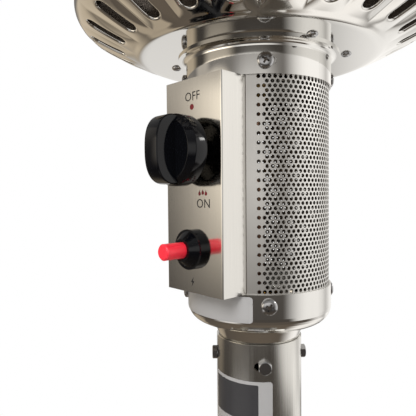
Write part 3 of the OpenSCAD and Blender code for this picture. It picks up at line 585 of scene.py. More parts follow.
@shared_tree("perforated sheet", "GeometryNodeTree",
             {SHAPE: ["Plain Edges"], PIECE: ["Cell", "Rear Cell"],
              WHOLE: ["Even Columns", "Odd Columns", "Even Rows", "Odd Rows"],
              NUMBER: ["Hole Pitch", "Row Pitch", "First Column", "First Row", "Odd Shift", "Radius",
                       "Rear Start", "Rear End"],
              FINISH: ["Finish"]}, {SHAPE: ["Sheet"]})
def perforated_tree(tree, m, given):
    """Cells with holes in staggered rows, joined to the sheet's plain edges and rolled to a radius."""
    points = joined(tree, [hole_points(tree, m, given, "Even", 0.0, 0.0),
                           hole_points(tree, m, given, "Odd", 1.0, given["Odd Shift"])])
    place = add(tree, "ShaderNodeSeparateXYZ", {0: made(tree, "GeometryNodeInputPosition")}).outputs
    rear = m("MULTIPLY", m("GREATER_THAN", place[0], given["Rear Start"]),
             m("LESS_THAN", place[0], given["Rear End"]))
    cells = []
    for name, chosen in (("Cell", m("SUBTRACT", 1.0, rear)), ("Rear Cell", rear)):
        cell = add(tree, "GeometryNodeObjectInfo", {"Object": given[name]}).outputs["Geometry"]
        cells.append(made(tree, "GeometryNodeInstanceOnPoints", {"Points": points, "Selection": chosen,
                                                                 "Instance": cell}))
    solid = made(tree, "GeometryNodeRealizeInstances", {"Geometry": joined(tree, cells)})
    flat = welded(tree, joined(tree, [given["Plain Edges"], solid]), WELD)
    spot = round_place(tree, m, m("DIVIDE", place[0], given["Radius"]), given["Radius"], place[2])
    rolled = made(tree, "GeometryNodeSetPosition", {"Geometry": flat, "Position": spot})
    return {"Sheet": made(tree, "GeometryNodeSetMaterial", {"Geometry": welded(tree, rolled, WELD),
                                                            "Material": given["Finish"]})}


def hole_cell(pitch, row_pitch, hole_d):
    """One flat cell of perforated sheet with an eight-sided hole, as a pattern object."""
    bm = bmesh.new()
    w, h, r = pitch / 2, row_pitch / 2, hole_d / 2
    edge = [bm.verts.new((x, 0, z)) for x, z in ((w, -h), (w, h), (0, h), (-w, h), (-w, -h), (0, -h))]
    hole = [bm.verts.new((x, 0, z)) for x, z in circle(r, 8, TURN / 16)]
    join_rows(bm, [[edge[k] for k in (0, 1, 2, 2, 3, 4, 5, 5)], hole[-1:] + hole[:-1]], ring=True)
    return new_piece("hole cell", bm, smooth=0)


def flat_band(bm, stops, low, high):
    """A flat strip between two heights with a seam at each stop."""
    join_rows(bm, [[bm.verts.new((x, 0, z)) for x in stops] for z in (low, high)])


# Faces marked under this name take the dark heated finish as painted shade
SHADE_MARK = "second finish"


def second_finish(piece, finish):
    """Add a second finish to a settled piece and lay it on its faces marked for painted shade."""
    piece.data.materials.append(FINISHES[finish])
    marked = piece.data.attributes.get(SHADE_MARK)
    if marked:
        last = len(piece.data.materials) - 1
        for face, mark in zip(piece.data.polygons, marked.data):
            if mark.value:
                face.material_index = last


def thicken(piece, wall, inside, smooth):
    """Give a settled sheet its thickness, with a finish of its own on the inner side."""
    second_finish(piece, inside)
    skin = piece.modifiers.new("wall", "SOLIDIFY")
    skin.thickness = wall
    skin.offset = -1
    skin.use_even_offset = False
    skin.material_offset = 1
    smooth_up_to(settle(piece).data, smooth)
    return piece


def roll_sheet(name, edges, cells, values, wall, finish):
    """Run the perforated tree on its plain edges and give the sheet its thickness."""
    patterns = {"Cell": cells[0], "Rear Cell": cells[-1], "Finish": FINISHES[finish]}
    piece = run_tree(new_piece(name, edges, smooth=0), perforated_tree(), {**values, **patterns})
    for cell in cells:
        bpy.data.objects.remove(cell)
    # The inner side takes the dark heated finish: heat tint on the heat screen, painted shade behind the
    # shroud's holes
    return thicken(piece, wall, "heated_steel", 35)


def ring_sheet(name, panel, copies, azimuth, wall, finish, inside):
    """Repeat one panel of sheet round the axis and give the whole its thickness."""
    piece = run_tree(new_piece(name, panel, smooth=0), ring_tree(), {
        "Count": copies, "Radius": 0.0, "Height": 0.0, "Azimuth": azimuth, "Weld": WELD,
        "Finish": FINISHES[finish]})
    return thicken(piece, wall, inside, 40)


class HeaterOperator(bpy.types.Operator):
    """Common settings of the heater's operators."""
    bl_options = {"REGISTER", "UNDO"}


class HEATER_OT_finishes(HeaterOperator):
    """Make all finishes and lay them on the CAD nodes that stay"""
    bl_idname = "heater.finishes"
    bl_label = "Finishes"

    own_finish = {"pole": "pole_steel", "control_box": "panel_steel", "emitter_cap": "heated_steel",
                  "burner_plate": "heated_steel", "burner_head": "heated_steel", "base_cover": "spun_steel"}

    def execute(self, context):
        FINISHES.update(make_finishes(context.scene.heater_finish))
        for name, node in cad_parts.items():
            for slot in node.material_slots:
                key = slot.material.name.split(".")[0]
                slot.material = FINISHES[self.own_finish.get(name, key)]
        return {"FINISHED"}


class HEATER_OT_shroud(HeaterOperator):
    """Roll the finely perforated shroud round the head, open at the front"""
    bl_idname = "heater.shroud"
    bl_label = "Perforated shroud"

    margin_steps = 4
    gap_steps = 24
    rear_start = math.radians(135)
    rear_end = math.radians(300)
    overlap = 0.5 * MM

    def execute(self, context):
        s = context.scene.heater_sheet
        radius = SHROUD_HIGH.x
        start = radius * s.first_column
        stop = radius * (TURN - s.first_column)
        pitch = (stop - start) / s.columns
        first = CUP_TOP + s.first_row
        left, right = radius * s.cut_half, radius * (TURN - s.cut_half)
        strip = (start - pitch / 2 - left) / self.margin_steps
        left_stops = [left + k * strip for k in range(self.margin_steps + 1)]
        right_stops = [right - k * strip for k in range(self.margin_steps, -1, -1)]
        edges = bmesh.new()
        for row in range(s.rows):
            low = first + (row - 0.5) * s.row_pitch
            plain = [k * pitch / 2 for k in range(3)] if row % 2 else []
            flat_band(edges, left_stops + [start + x for x in plain], low, low + s.row_pitch)
            flat_band(edges, [stop - x for x in reversed(plain)] + right_stops, low, low + s.row_pitch)
        stops = left_stops + [start + k * pitch / 2 for k in range(2 * s.columns + 1)] + right_stops
        gap = left + TURN * radius - right
        stops += [right + gap * k / self.gap_steps for k in range(1, self.gap_steps + 1)]
        flat_band(edges, stops, SHROUD_LOW.z, first - s.row_pitch / 2)
        flat_band(edges, stops, first + (s.rows - 0.5) * s.row_pitch, SHROUD_HIGH.z)
        cells = [hole_cell(pitch, s.row_pitch, d) for d in (s.hole_d, s.rear_hole_d)]
        shroud = roll_sheet("shroud_sheet", edges, cells, {
            "Even Columns": s.columns + 1, "Odd Columns": s.columns - 2, "Odd Shift": 1.5,
            "Even Rows": (s.rows + 1) // 2, "Odd Rows": s.rows // 2, "Hole Pitch": pitch,
            "Row Pitch": s.row_pitch, "First Column": start, "First Row": first, "Radius": radius,
            "Rear Start": radius * self.rear_start, "Rear End": radius * self.rear_end,
        }, s.sheet, "perforated_steel")
        # The edges inside the collar and the cup take the dark inner finish: painted shade where they show
        # through the holes round the screws
        for face in shroud.data.polygons:
            if not CUP_TOP - self.overlap < face.center.z < COLLAR_BOTTOM + self.overlap:
                face.material_index = 1
        put_on(shroud, HEATER, "perforated_steel", "perforated_shroud")
        return {"FINISHED"}


class HEATER_OT_screen(HeaterOperator):
    """Roll the perforated heat screen that stands in the dish"""
    bl_idname = "heater.screen"
    bl_label = "Heat screen"

    plain_edge = 8 * MM
    stagger = math.radians(60)

    def execute(self, context):
        s = context.scene.heater_sheet
        radius = SCREEN_HIGH.x
        columns = round(TURN * radius / s.screen_pitch)
        pitch = TURN * radius / columns
        row_pitch = pitch * math.sin(self.stagger)
        pairs = int((SCREEN_HIGH.z - SCREEN_LOW.z - 2 * self.plain_edge) / row_pitch) // 2
        rows = 2 * pairs
        first = (SCREEN_LOW.z + SCREEN_HIGH.z - (rows - 1) * row_pitch) / 2
        stops = [(k - 1) * pitch / 2 for k in range(2 * columns + 1)]
        edges = bmesh.new()
        flat_band(edges, stops, SCREEN_LOW.z, first - row_pitch / 2)
        flat_band(edges, stops, first + (rows - 0.5) * row_pitch, SCREEN_HIGH.z)
        screen = roll_sheet("heat_screen", edges, [hole_cell(pitch, row_pitch, s.screen_hole_d)], {
            "Even Columns": columns, "Odd Columns": columns, "Even Rows": pairs, "Odd Rows": pairs,
            "Hole Pitch": pitch, "Row Pitch": row_pitch, "First Column": 0.0, "First Row": first,
            "Odd Shift": 0.5, "Radius": radius,
        }, s.sheet, "heated_steel")
        put_on(screen, HEATER, "perforated_steel", "emitter_screen")
        return {"FINISHED"}


class DishProfile:
    """The dish's outer skin as a run of lines and bends from its hole to its rim."""
    floor_bend = 6 * MM

    def __init__(self, s):
        slope, upright = s.dish_slope, math.pi / 2 - s.dish_slope
        trim = self.floor_bend * math.tan(slope / 2)
        bend_trim = s.dish_bend * math.tan(upright / 2)
        rise = s.dish_r - s.floor_r
        slope_run = rise / math.cos(slope) - trim - bend_trim
        wall = DISH_HIGH.z - DISH_LOW.z - s.rim_r - rise * math.tan(slope) - bend_trim
        self.start = Vector((s.dish_hole_r, DISH_LOW.z))
        self.runs = [(s.floor_r - trim - s.dish_hole_r, 0.0), (self.floor_bend * slope, slope),
                     (slope_run, 0.0), (s.dish_bend * upright, upright), (wall, 0.0)]
        self.total = sum(run for run, _ in self.runs)
        to_slope = self.runs[0][0] + self.runs[1][0]
        self.slot = to_slope + (s.slot_r - s.floor_r) / math.cos(slope) - trim

    def at(self, distance):
        """Radius and height, and the outward normal, at a distance along the skin."""
        spot, heading = self.start.copy(), 0.0
        for run, turn in self.runs:
            part = min(max(distance, 0.0), run)
            if turn:
                bend = run / turn
                swing = part / bend
                spot += bend * Vector((math.sin(heading + swing) - math.sin(heading),
                                       math.cos(heading) - math.cos(heading + swing)))
                heading += swing
            else:
                spot += part * Vector((math.cos(heading), math.sin(heading)))
            distance -= run
            if distance <= 0:
                break
        return spot, Vector((math.sin(heading), -math.cos(heading)))


class HEATER_OT_dish(HeaterOperator):
    """Draw one slotted panel of the burner dish and repeat it round the axis"""
    bl_idname = "heater.dish"
    bl_label = "Burner dish"

    reach = 20.5 * MM
    lip_roll = 1.4 * MM
    roll_steps = 5
    side_steps = 10
    end_steps = 16
    spread_steps = 6
    floor_stops = (0, 0.8, 1.6, 2.6, 4.0, 6.0, 9.0, 16.0, 28.0, 44.0)
    wall_steps = 20
    rim_loops = 192
    rim_sides = 14

    def outline(self, s):
        """Points of the slot's edge, their outward direction, and where each ends on the panel's edge."""
        r = s.slot_width / 2
        straight = s.slot_length / 2 - r
        points = []
        for end in (1, -1):
            for k in range(self.side_steps):
                share = end * (2 * k / self.side_steps - 1)
                points.append(((straight * share, end * r), (0.0, end), (self.reach * share, end)))
            for k in range(self.end_steps):
                swing = math.pi * k / self.end_steps
                out = (end * math.sin(swing), end * math.cos(swing))
                spot = (end * straight + r * out[0], r * out[1])
                points.append((spot, out, (end * self.reach, end * (1 - 2 * k / self.end_steps))))
        return points

    def panel(self, s):
        """One panel: a lip turned into the dish, a bulge round the slot and plain sheet above and below."""
        profile = DishProfile(s)
        half = math.pi / s.slot_count
        bm = bmesh.new()
        lip_shade = bm.faces.layers.int.new(SHADE_MARK)

        def skin(along, azimuth, sunk=0.0):
            spot, normal = profile.at(profile.slot + along)
            swell = s.bulge * max(0.0, 1 - (along / self.reach) ** 2) * (1 - (azimuth / half) ** 2)
            lift = swell - sunk
            return bm.verts.new(round_point(spot.x + lift * normal.x, azimuth, spot.y + lift * normal.y))

        def turn_at(along, across):
            return across / profile.at(profile.slot + along)[0].x

        points = self.outline(s)
        rings = []
        for offset, sunk in [(0.0, s.lip_depth)] + edge_round(self.lip_roll, self.roll_steps):
            places = [(a + offset * out_a, b + offset * out_b) for (a, b), (out_a, out_b), _ in points]
            rings.append([skin(a, turn_at(a, b), sunk) for a, b in places])
        starts = [(a, turn_at(a, b)) for a, b in places]
        ends = [(a, side * half) for _, _, (a, side) in points]
        for share in shares(self.spread_steps)[1:]:
            rings.append([skin(a0 + (a1 - a0) * share, t0 + (t1 - t0) * share)
                          for (a0, t0), (a1, t1) in zip(starts, ends)])
        # The lip's walls are marked for the dark finish: painted shade in the slots, partly heat tint
        for face in join_rows(bm, rings[:2], ring=True):
            face[lip_shade] = 1
        join_rows(bm, rings[1:], ring=True)

        turns = [half * (1 - 2 * share) for share in shares(self.end_steps)]
        below = [-self.reach - stop * MM for stop in self.floor_stops] + [-profile.slot]
        wall = profile.total - profile.slot - self.reach
        above = [self.reach + wall * share for share in shares(self.wall_steps)]
        for stations in (below, above):
            join_rows(bm, [[skin(a, turn) for turn in turns] for a in stations])
        return facing(bm, WELD / 2, -1)

    def rim(self, s):
        """The rolled bead round the dish's edge."""
        bead = bmesh.new()
        middle = DISH_HIGH.z - s.rim_r
        section = [(s.dish_r + x, middle + z) for x, z in circle(s.rim_r, self.rim_sides)]
        rows = round_rows(bead, section, [TURN * k / self.rim_loops for k in range(self.rim_loops)])
        join_rows(bead, rows + rows[:1], ring=True)
        return outwards(bead)

    def execute(self, context):
        s = context.scene.heater_sheet
        # The inner side and the slot lips take the dark heated finish: partly heat tint, partly painted shade
        # inside the dish and in the slots
        dish = ring_sheet("burner_dish_sheet", self.panel(s), s.slot_count, s.slot_azimuth, s.dish_sheet,
                          "polished_steel", "heated_steel")
        put_on(dish, HEATER, "polished_steel", "burner_dish")
        put_on(new_piece("burner_dish_rim", self.rim(s), "polished_steel"), HEATER, "polished_steel")
        return {"FINISHED"}


class HEATER_OT_reflector(HeaterOperator):
    """Spin the heat reflector from one narrow strip"""
    bl_idname = "heater.reflector"
    bl_label = "Reflector"

    crown_steps = 5
    curve_steps = 40
    bend_steps = 6
    segments = 160
    fall = 1.5
    bend = 3.0 * MM

    def skin(self, s):
        """Radius and height of the upper skin from the middle to the lip's end."""
        rim, top = REFLECTOR_HIGH.x, REFLECTOR_HIGH.z
        drop = top - REFLECTOR_LOW.z - s.reflector_lip
        points = [Vector((s.crown_r * k / self.crown_steps, top)) for k in range(self.crown_steps)]
        last = (rim - self.bend - s.crown_r) / (rim - s.crown_r)
        for part in shares(self.curve_steps):
            share = last * part
            points.append(Vector((s.crown_r + (rim - s.crown_r) * share, top - drop * share ** self.fall)))
        start = points[-1]
        corner = Vector((rim, top - drop))
        end = corner - Vector((0, self.bend))
        for share in shares(self.bend_steps)[1:]:
            points.append(start.lerp(corner, share).lerp(corner.lerp(end, share), share))
        return points + [Vector((rim, REFLECTOR_LOW.z))]

    def execute(self, context):
        s = context.scene.heater_sheet
        half = math.pi / self.segments
        strip = bmesh.new()
        join_rows(strip, round_rows(strip, self.skin(s), (-half, half)))
        reflector = ring_sheet("reflector_sheet", facing(strip, FINE_WELD, 1), self.segments, 0.0,
                               s.reflector_sheet, "spun_steel", "spun_steel")
        put_on(reflector, HEATER, "polished_steel", "reflector")
        return {"FINISHED"}


class HEATER_OT_knob(HeaterOperator):
    """Turn the knob's skirt and form its grip bar"""
    bl_idname = "heater.knob"
    bl_label = "Control knob"

    edge = 0.4 * MM
    rib = 0.6 * MM
    moon_depth = 0.8 * MM
    wall = 3.0 * MM
    hollow = 6.0 * MM
    hub_r = 8.0 * MM
    grip_power = 2.6
    grip_edge = 0.9 * MM
    grip_inset = 1.0 * MM
    segments = 160
    stations = 60
    edge_steps = 6

    def skirt(self, c, r):
        """The round skirt with its chamfer, thin rib and sunk face."""
        e, face, inner = self.edge, c.skirt_depth + c.chamfer, r - c.chamfer
        floor = face - self.moon_depth
        profile = [(0.0, e), (self.hub_r, e), (self.hub_r, self.hollow), (r - self.wall, self.hollow),
                   (r - self.wall, e), (r - self.wall + e, 0.0), (r - 2 * e, 0.0), (r - e / 2, e / 2),
                   (r, 2 * e), (r, c.skirt_depth - e), (r - 0.15 * e, c.skirt_depth - 0.2 * e),
                   (r - 0.8 * e, c.skirt_depth + 0.8 * e), (inner + 0.8 * e, face - 0.8 * e),
                   (inner + 0.2 * e, face - 0.15 * e), (inner - 0.3 * self.rib, face),
                   (inner - 0.8 * self.rib, face - 0.2 * e), (inner - self.rib, face - e),
                   (inner - 1.2 * self.rib, floor + 0.3 * e), (inner - 1.8 * self.rib, floor), (0.0, floor)]
        return turned(profile, self.segments), floor

    def grip_outline(self, reach, low):
        """Points of the grip bar's front from end to end, each with the direction out of it."""
        power = 2 / self.grip_power
        points = []
        for share in shares(self.stations):
            swing = math.pi * share
            side, rise = math.cos(swing), max(math.sin(swing), 0.0)
            along = -math.copysign(abs(side) ** power, side)
            points.append(Vector((along * reach, low + (KNOB_REACH - low) * rise ** power)))
        runs = [points[min(k + 1, self.stations)] - points[max(k - 1, 0)] for k in range(len(points))]
        return points, [Vector((-run.y, run.x)).normalized() for run in runs]

    def execute(self, context):
        c = context.scene.heater_controls
        r = (KNOB_HIGH.x - KNOB_LOW.x) / 2
        bm, floor = self.skirt(c, r)
        base = floor - self.grip_inset
        points, outs = self.grip_outline(r - self.grip_inset, base)
        half = c.grip_width / 2
        across = [(inset - half, sunk) for inset, sunk in edge_round(self.grip_edge, self.edge_steps)]
        across += [(-x, sunk) for x, sunk in reversed(across)]
        rows = []
        for point, out in zip(points, outs):
            row = [bm.verts.new((-half, -base, point.x))]
            for x, sunk in across:
                place = point - out * sunk
                row.append(bm.verts.new((x, -max(place.y, base), place.x)))
            row.append(bm.verts.new((half, -base, point.x)))
            rows.append(row)
        join_rows(bm, rows, ring=True)
        bmesh.ops.remove_doubles(bm, verts=bm.verts, dist=2 * FINE_WELD)
        bmesh.ops.dissolve_degenerate(bm, edges=bm.edges, dist=FINE_WELD)
        bmesh.ops.translate(outwards(bm), verts=bm.verts, vec=(0, KNOB_HIGH.y, KNOB_Z))
        put_on(new_piece("knob_grip", bm, "black_plastic", 35), KNOB, "black_plastic", "control_knob")
        return {"FINISHED"}


class HEATER_OT_fasteners(HeaterOperator):
    """Set pan-head screws and hexagon bolts round the heater's axis"""
    bl_idname = "heater.fasteners"
    bl_label = "Screws and bolts"

    copies = 4
    segments = 40
    shank = 1.5 * MM
    foot_round = 0.2 * MM
    crown_share = 0.55
    dome_power = 0.8
    dome_steps = 9
    mouth = 3.375 * MM
    root = 1.5 * MM
    arm_half = 0.6 * MM
    recess = 1.5 * MM
    recess_turn = math.radians(28)
    # Bounds of the cross recess's faces that take painted shade
    shade_share = 0.72
    shade_drop = 0.55
    hex_bevel = 1.2 * MM
    hex_face = 0.93
    hex_segments = 48

    def cross(self, h):
        """The cutter of a cross recess, narrower towards its floor."""
        cutter = bmesh.new()
        w = self.arm_half
        layers = []
        for out, tip in ((h + MM, self.mouth), (h - self.recess, self.root)):
            plus = [(w, w), (tip, w), (tip, -w), (w, -w), (w, -tip), (-w, -tip),
                    (-w, -w), (-tip, -w), (-tip, w), (-w, w), (-w, tip), (w, tip)]
            layers.append([cutter.verts.new((x, -out, z)) for x, z in plus])
        join_rows(cutter, layers, ring=True)
        for layer in layers:
            cutter.faces.new(layer)
        outwards(cutter).transform(Matrix.Rotation(self.recess_turn, 4, "Y"))
        return cutter

    def pan_head(self, c):
        """A domed head with a cross recess and a short shank, facing out of the wall."""
        r, h = c.screw_head_d / 2, c.screw_head_h
        crown, neck = self.crown_share * h, r / 4
        dome = [(r * math.cos(a) ** self.dome_power, h - crown + crown * math.sin(a))
                for a in (math.pi / 2 * share for share in shares(self.dome_steps)[:-1])]
        head = turned([(0.0, -self.shank), (neck, -self.shank), (neck, 0.0),
                       (r - 0.75 * self.foot_round, 0.0), (r, self.foot_round), *dome, (0.0, h)],
                      self.segments)
        mesh = cut_by(head, self.cross(h), "DIFFERENCE")
        # Faces inside the cross recess are marked for the dark finish: painted shade in the recess
        marks = mesh.attributes.new(SHADE_MARK, "INT", "FACE")
        for face, mark in zip(mesh.polygons, marks.data):
            spread = math.hypot(face.center.x, face.center.z)
            mark.value = int(spread < self.shade_share * r and 0 < -face.center.y < h - self.shade_drop * crown)
        return mesh

    def hex_head(self, c):
        """A chamfered hexagon head, facing out of the wall."""
        h, flat = c.bolt_head_h, c.bolt_af / 2
        corner = flat / math.cos(math.pi / 6)
        prism = bmesh.new()
        place = Matrix.Translation((0, -h / 2, 0)) @ Matrix.Rotation(math.pi / 2, 4, "X")
        bmesh.ops.create_cone(prism, cap_ends=True, segments=6, radius1=corner, radius2=corner, depth=h,
                              matrix=place)
        clear, top = corner + MM, h + 0.01 * MM
        lathe = turned([(0.0, -MM), (clear, -MM), (clear, h - self.hex_bevel), (self.hex_face * flat, top),
                        (0.0, top)], self.hex_segments)
        return cut_by(prism, lathe, "INTERSECT")

    def execute(self, context):
        c = context.scene.heater_controls
        for name, node, head, wall, turn in (
                ("collar_screw_heads", "collar_screws", self.pan_head, CUP_R, c.collar_azimuth),
                ("cup_screw_heads", "cup_screws", self.pan_head, CUP_R, c.screw_azimuth),
                ("pole_top_bolt_heads", "pole_top_bolts", self.hex_head, POLE_R, c.screw_azimuth)):
            low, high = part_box(node)
            piece = run_tree(new_piece(name, head(c), "plated_steel", 30), ring_tree(), {
                "Count": self.copies, "Radius": wall, "Height": (low.z + high.z) / 2, "Azimuth": turn,
                "Weld": FINE_WELD, "Finish": FINISHES["plated_steel"]})
            # The marked recess faces take the dark heated finish as painted shade
            second_finish(piece, "heated_steel")
            smooth_up_to(piece.data, 30)
            put_on(piece, HEATER, "plated_steel", node)
        return {"FINISHED"}


class HEATER_OT_marks(HeaterOperator):
    """Print the OFF and ON marks, the dot, the small flames and the spark on the panel"""
    bl_idname = "heater.marks"
    bl_label = "Printed marks"

    # Places from the panel's middle and foot, and outlines about a place, in millimetres
    off_place = (0.3, 121.6)
    on_place = (9.6, 55.7)
    dot_place = (-0.2, 115.4)
    flame_places = ((6.2, 62.4), (9.1, 62.9), (11.9, 62.4))
    spark_place = (-1.0, 6.9)
    flame = ((0.0, -1.7), (0.7, -1.45), (1.05, -0.8), (1.0, -0.1), (0.62, 0.55), (0.5, 0.1), (0.28, 0.9),
             (-0.1, 1.75), (-0.32, 0.95), (-0.75, 0.35), (-1.05, -0.35), (-1.0, -1.05), (-0.6, -1.5))
    spark = ((0.9, 3.0), (-1.5, -0.3), (-0.1, -0.3), (-0.9, -3.0), (1.6, 0.6), (0.2, 0.6))
    dot_sides = 32
    capital_share = 0.73
    letter_gap = 1.05
    letter_steps = 4
    lift = 0.06 * MM

    def lettering(self, word, place, height):
        """A word as a flat mesh on the panel."""
        text = bpy.data.curves.new(word, "FONT")
        text.body = word
        text.align_x = text.align_y = "CENTER"
        text.size = height / self.capital_share
        text.space_character = self.letter_gap
        text.resolution_u = self.letter_steps
        text.extrude = self.lift / 2
        carrier = bpy.data.objects.new(word, text)
        bpy.context.scene.collection.objects.link(carrier)
        mesh = plain_mesh(carrier)
        bpy.data.objects.remove(carrier)
        x, z = place
        mesh.transform(Matrix.Translation((x * MM, PANEL_Y - self.lift / 2, CUP_TOP + z * MM))
                       @ Matrix.Rotation(math.pi / 2, 4, "X"))
        return mesh

    def flat_shapes(self, shapes):
        """Thin printed shapes from their outlines and places."""
        bm = bmesh.new()
        for outline, (x0, z0) in shapes:
            front, back = ([bm.verts.new(((x0 + x) * MM, y, CUP_TOP + (z0 + z) * MM)) for x, z in outline]
                           for y in (PANEL_Y - self.lift, PANEL_Y))
            bm.faces.new(front)
            bm.faces.new(back[::-1])
            join_rows(bm, [front, back], ring=True)
        return outwards(bm)

    def execute(self, context):
        c = context.scene.heater_controls
        for name, word, place in (("mark_off", "OFF", self.off_place), ("mark_on", "ON", self.on_place)):
            letters = self.lettering(word, place, c.letter_h)
            put_on(new_piece(name, letters, "ink", 0), HEATER, "black_plastic")
        dot = circle(c.dot_d / 2 / MM, self.dot_sides)
        red = self.flat_shapes([(dot, self.dot_place), *((self.flame, place) for place in self.flame_places)])
        put_on(new_piece("mark_flames", red, "red_ink", 0), HEATER, "red_plastic")
        spark = self.flat_shapes([(self.spark, self.spark_place)])
        put_on(new_piece("mark_spark", spark, "ink", 0), HEATER, "black_plastic")
        return {"FINISHED"}


class BlankLabel(NamedTuple):
    """A label: sides in degrees; top and foot below the cup's top, corners and lift in millimetres."""
    left: float
    right: float
    top: float
    foot: float
    corner: float
    lift: float = 0.12


class HEATER_OT_labels(HeaterOperator):
    """Stick the blank labels round the cup and the pole"""
    bl_idname = "heater.labels"
    bl_label = "Blank labels"

    cup_label = BlankLabel(-38, 36.7, 1.3, 17.6, 2.2)
    pole_label = BlankLabel(-34, 58, 62.1, 132.1, 2.0)
    pole_block = BlankLabel(-30, 40, 64.3, 88.1, 0.8, 0.192)
    cup_round = 11 * MM
    cup_wall = 15 * MM
    columns = 72
    rows = 10

    def cup_r(self, z):
        """The cup's radius at a height, with the round at its foot."""
        drop = max(0.0, CUP_TOP - self.cup_wall - z)
        return CUP_R - self.cup_round + math.sqrt(self.cup_round ** 2 - drop ** 2)

    def pole_r(self, z):
        """The pole's radius, the same at every height."""
        return POLE_R

    def patch(self, label, radius_at):
        """A thin patch with rounded corners that follows a round wall."""
        bm = bmesh.new()
        left, swing = math.radians(label.left), math.radians(label.right - label.left)
        high, low, corner = CUP_TOP - label.top * MM, CUP_TOP - label.foot * MM, label.corner * MM
        wide = radius_at(high) * swing
        layers = []
        for depth in (label.lift * MM, 0.0):
            layer = []
            for part in shares(self.columns):
                across = wide * (1 - math.cos(math.pi * part)) / 2
                near = min(across, wide - across)
                pull = corner - math.sqrt(corner ** 2 - (corner - near) ** 2) if near < corner else 0.0
                heights = [low + pull + (high - low - 2 * pull) * share for share in shares(self.rows)]
                layer.append([bm.verts.new(round_point(radius_at(z) + depth, left + swing * across / wide, z))
                              for z in heights])
            join_rows(bm, layer)
            rim = [column[0] for column in layer] + layer[-1][1:]
            rim += [column[-1] for column in layer[-2::-1]] + layer[0][-2:0:-1]
            layers.append(rim)
        join_rows(bm, layers, ring=True)
        return outwards(bm)

    def execute(self, context):
        cup = self.patch(self.cup_label, self.cup_r)
        put_on(new_piece("cup_label", cup, "label"), HEATER, "cylinder_paint")
        pole = self.patch(self.pole_label, self.pole_r)
        put_on(new_piece("pole_label", pole, "label"), HEATER, "cylinder_paint")
        block = self.patch(self.pole_block, self.pole_r)
        put_on(new_piece("pole_label_block", block, "label_block"), HEATER, "black_plastic")
        return {"FINISHED"}


class SoftPanel(NamedTuple):
    """A light panel: place in degrees and metres, size, and the shares that fade at sides, foot and top."""
    name: str
    azimuth: float
    distance: float
    middle: float
    width: float
    height: float
    brightness: float
    tint: tuple = (1.0, 0.985, 0.96)
    fade: tuple = (0.45, 0.2, 0.2)
    mirrored: bool = True


WARM = (1.0, 0.90, 0.75)
GOLD = (1.0, 0.83, 0.60)
WHITE = (1, 1, 1, 1)


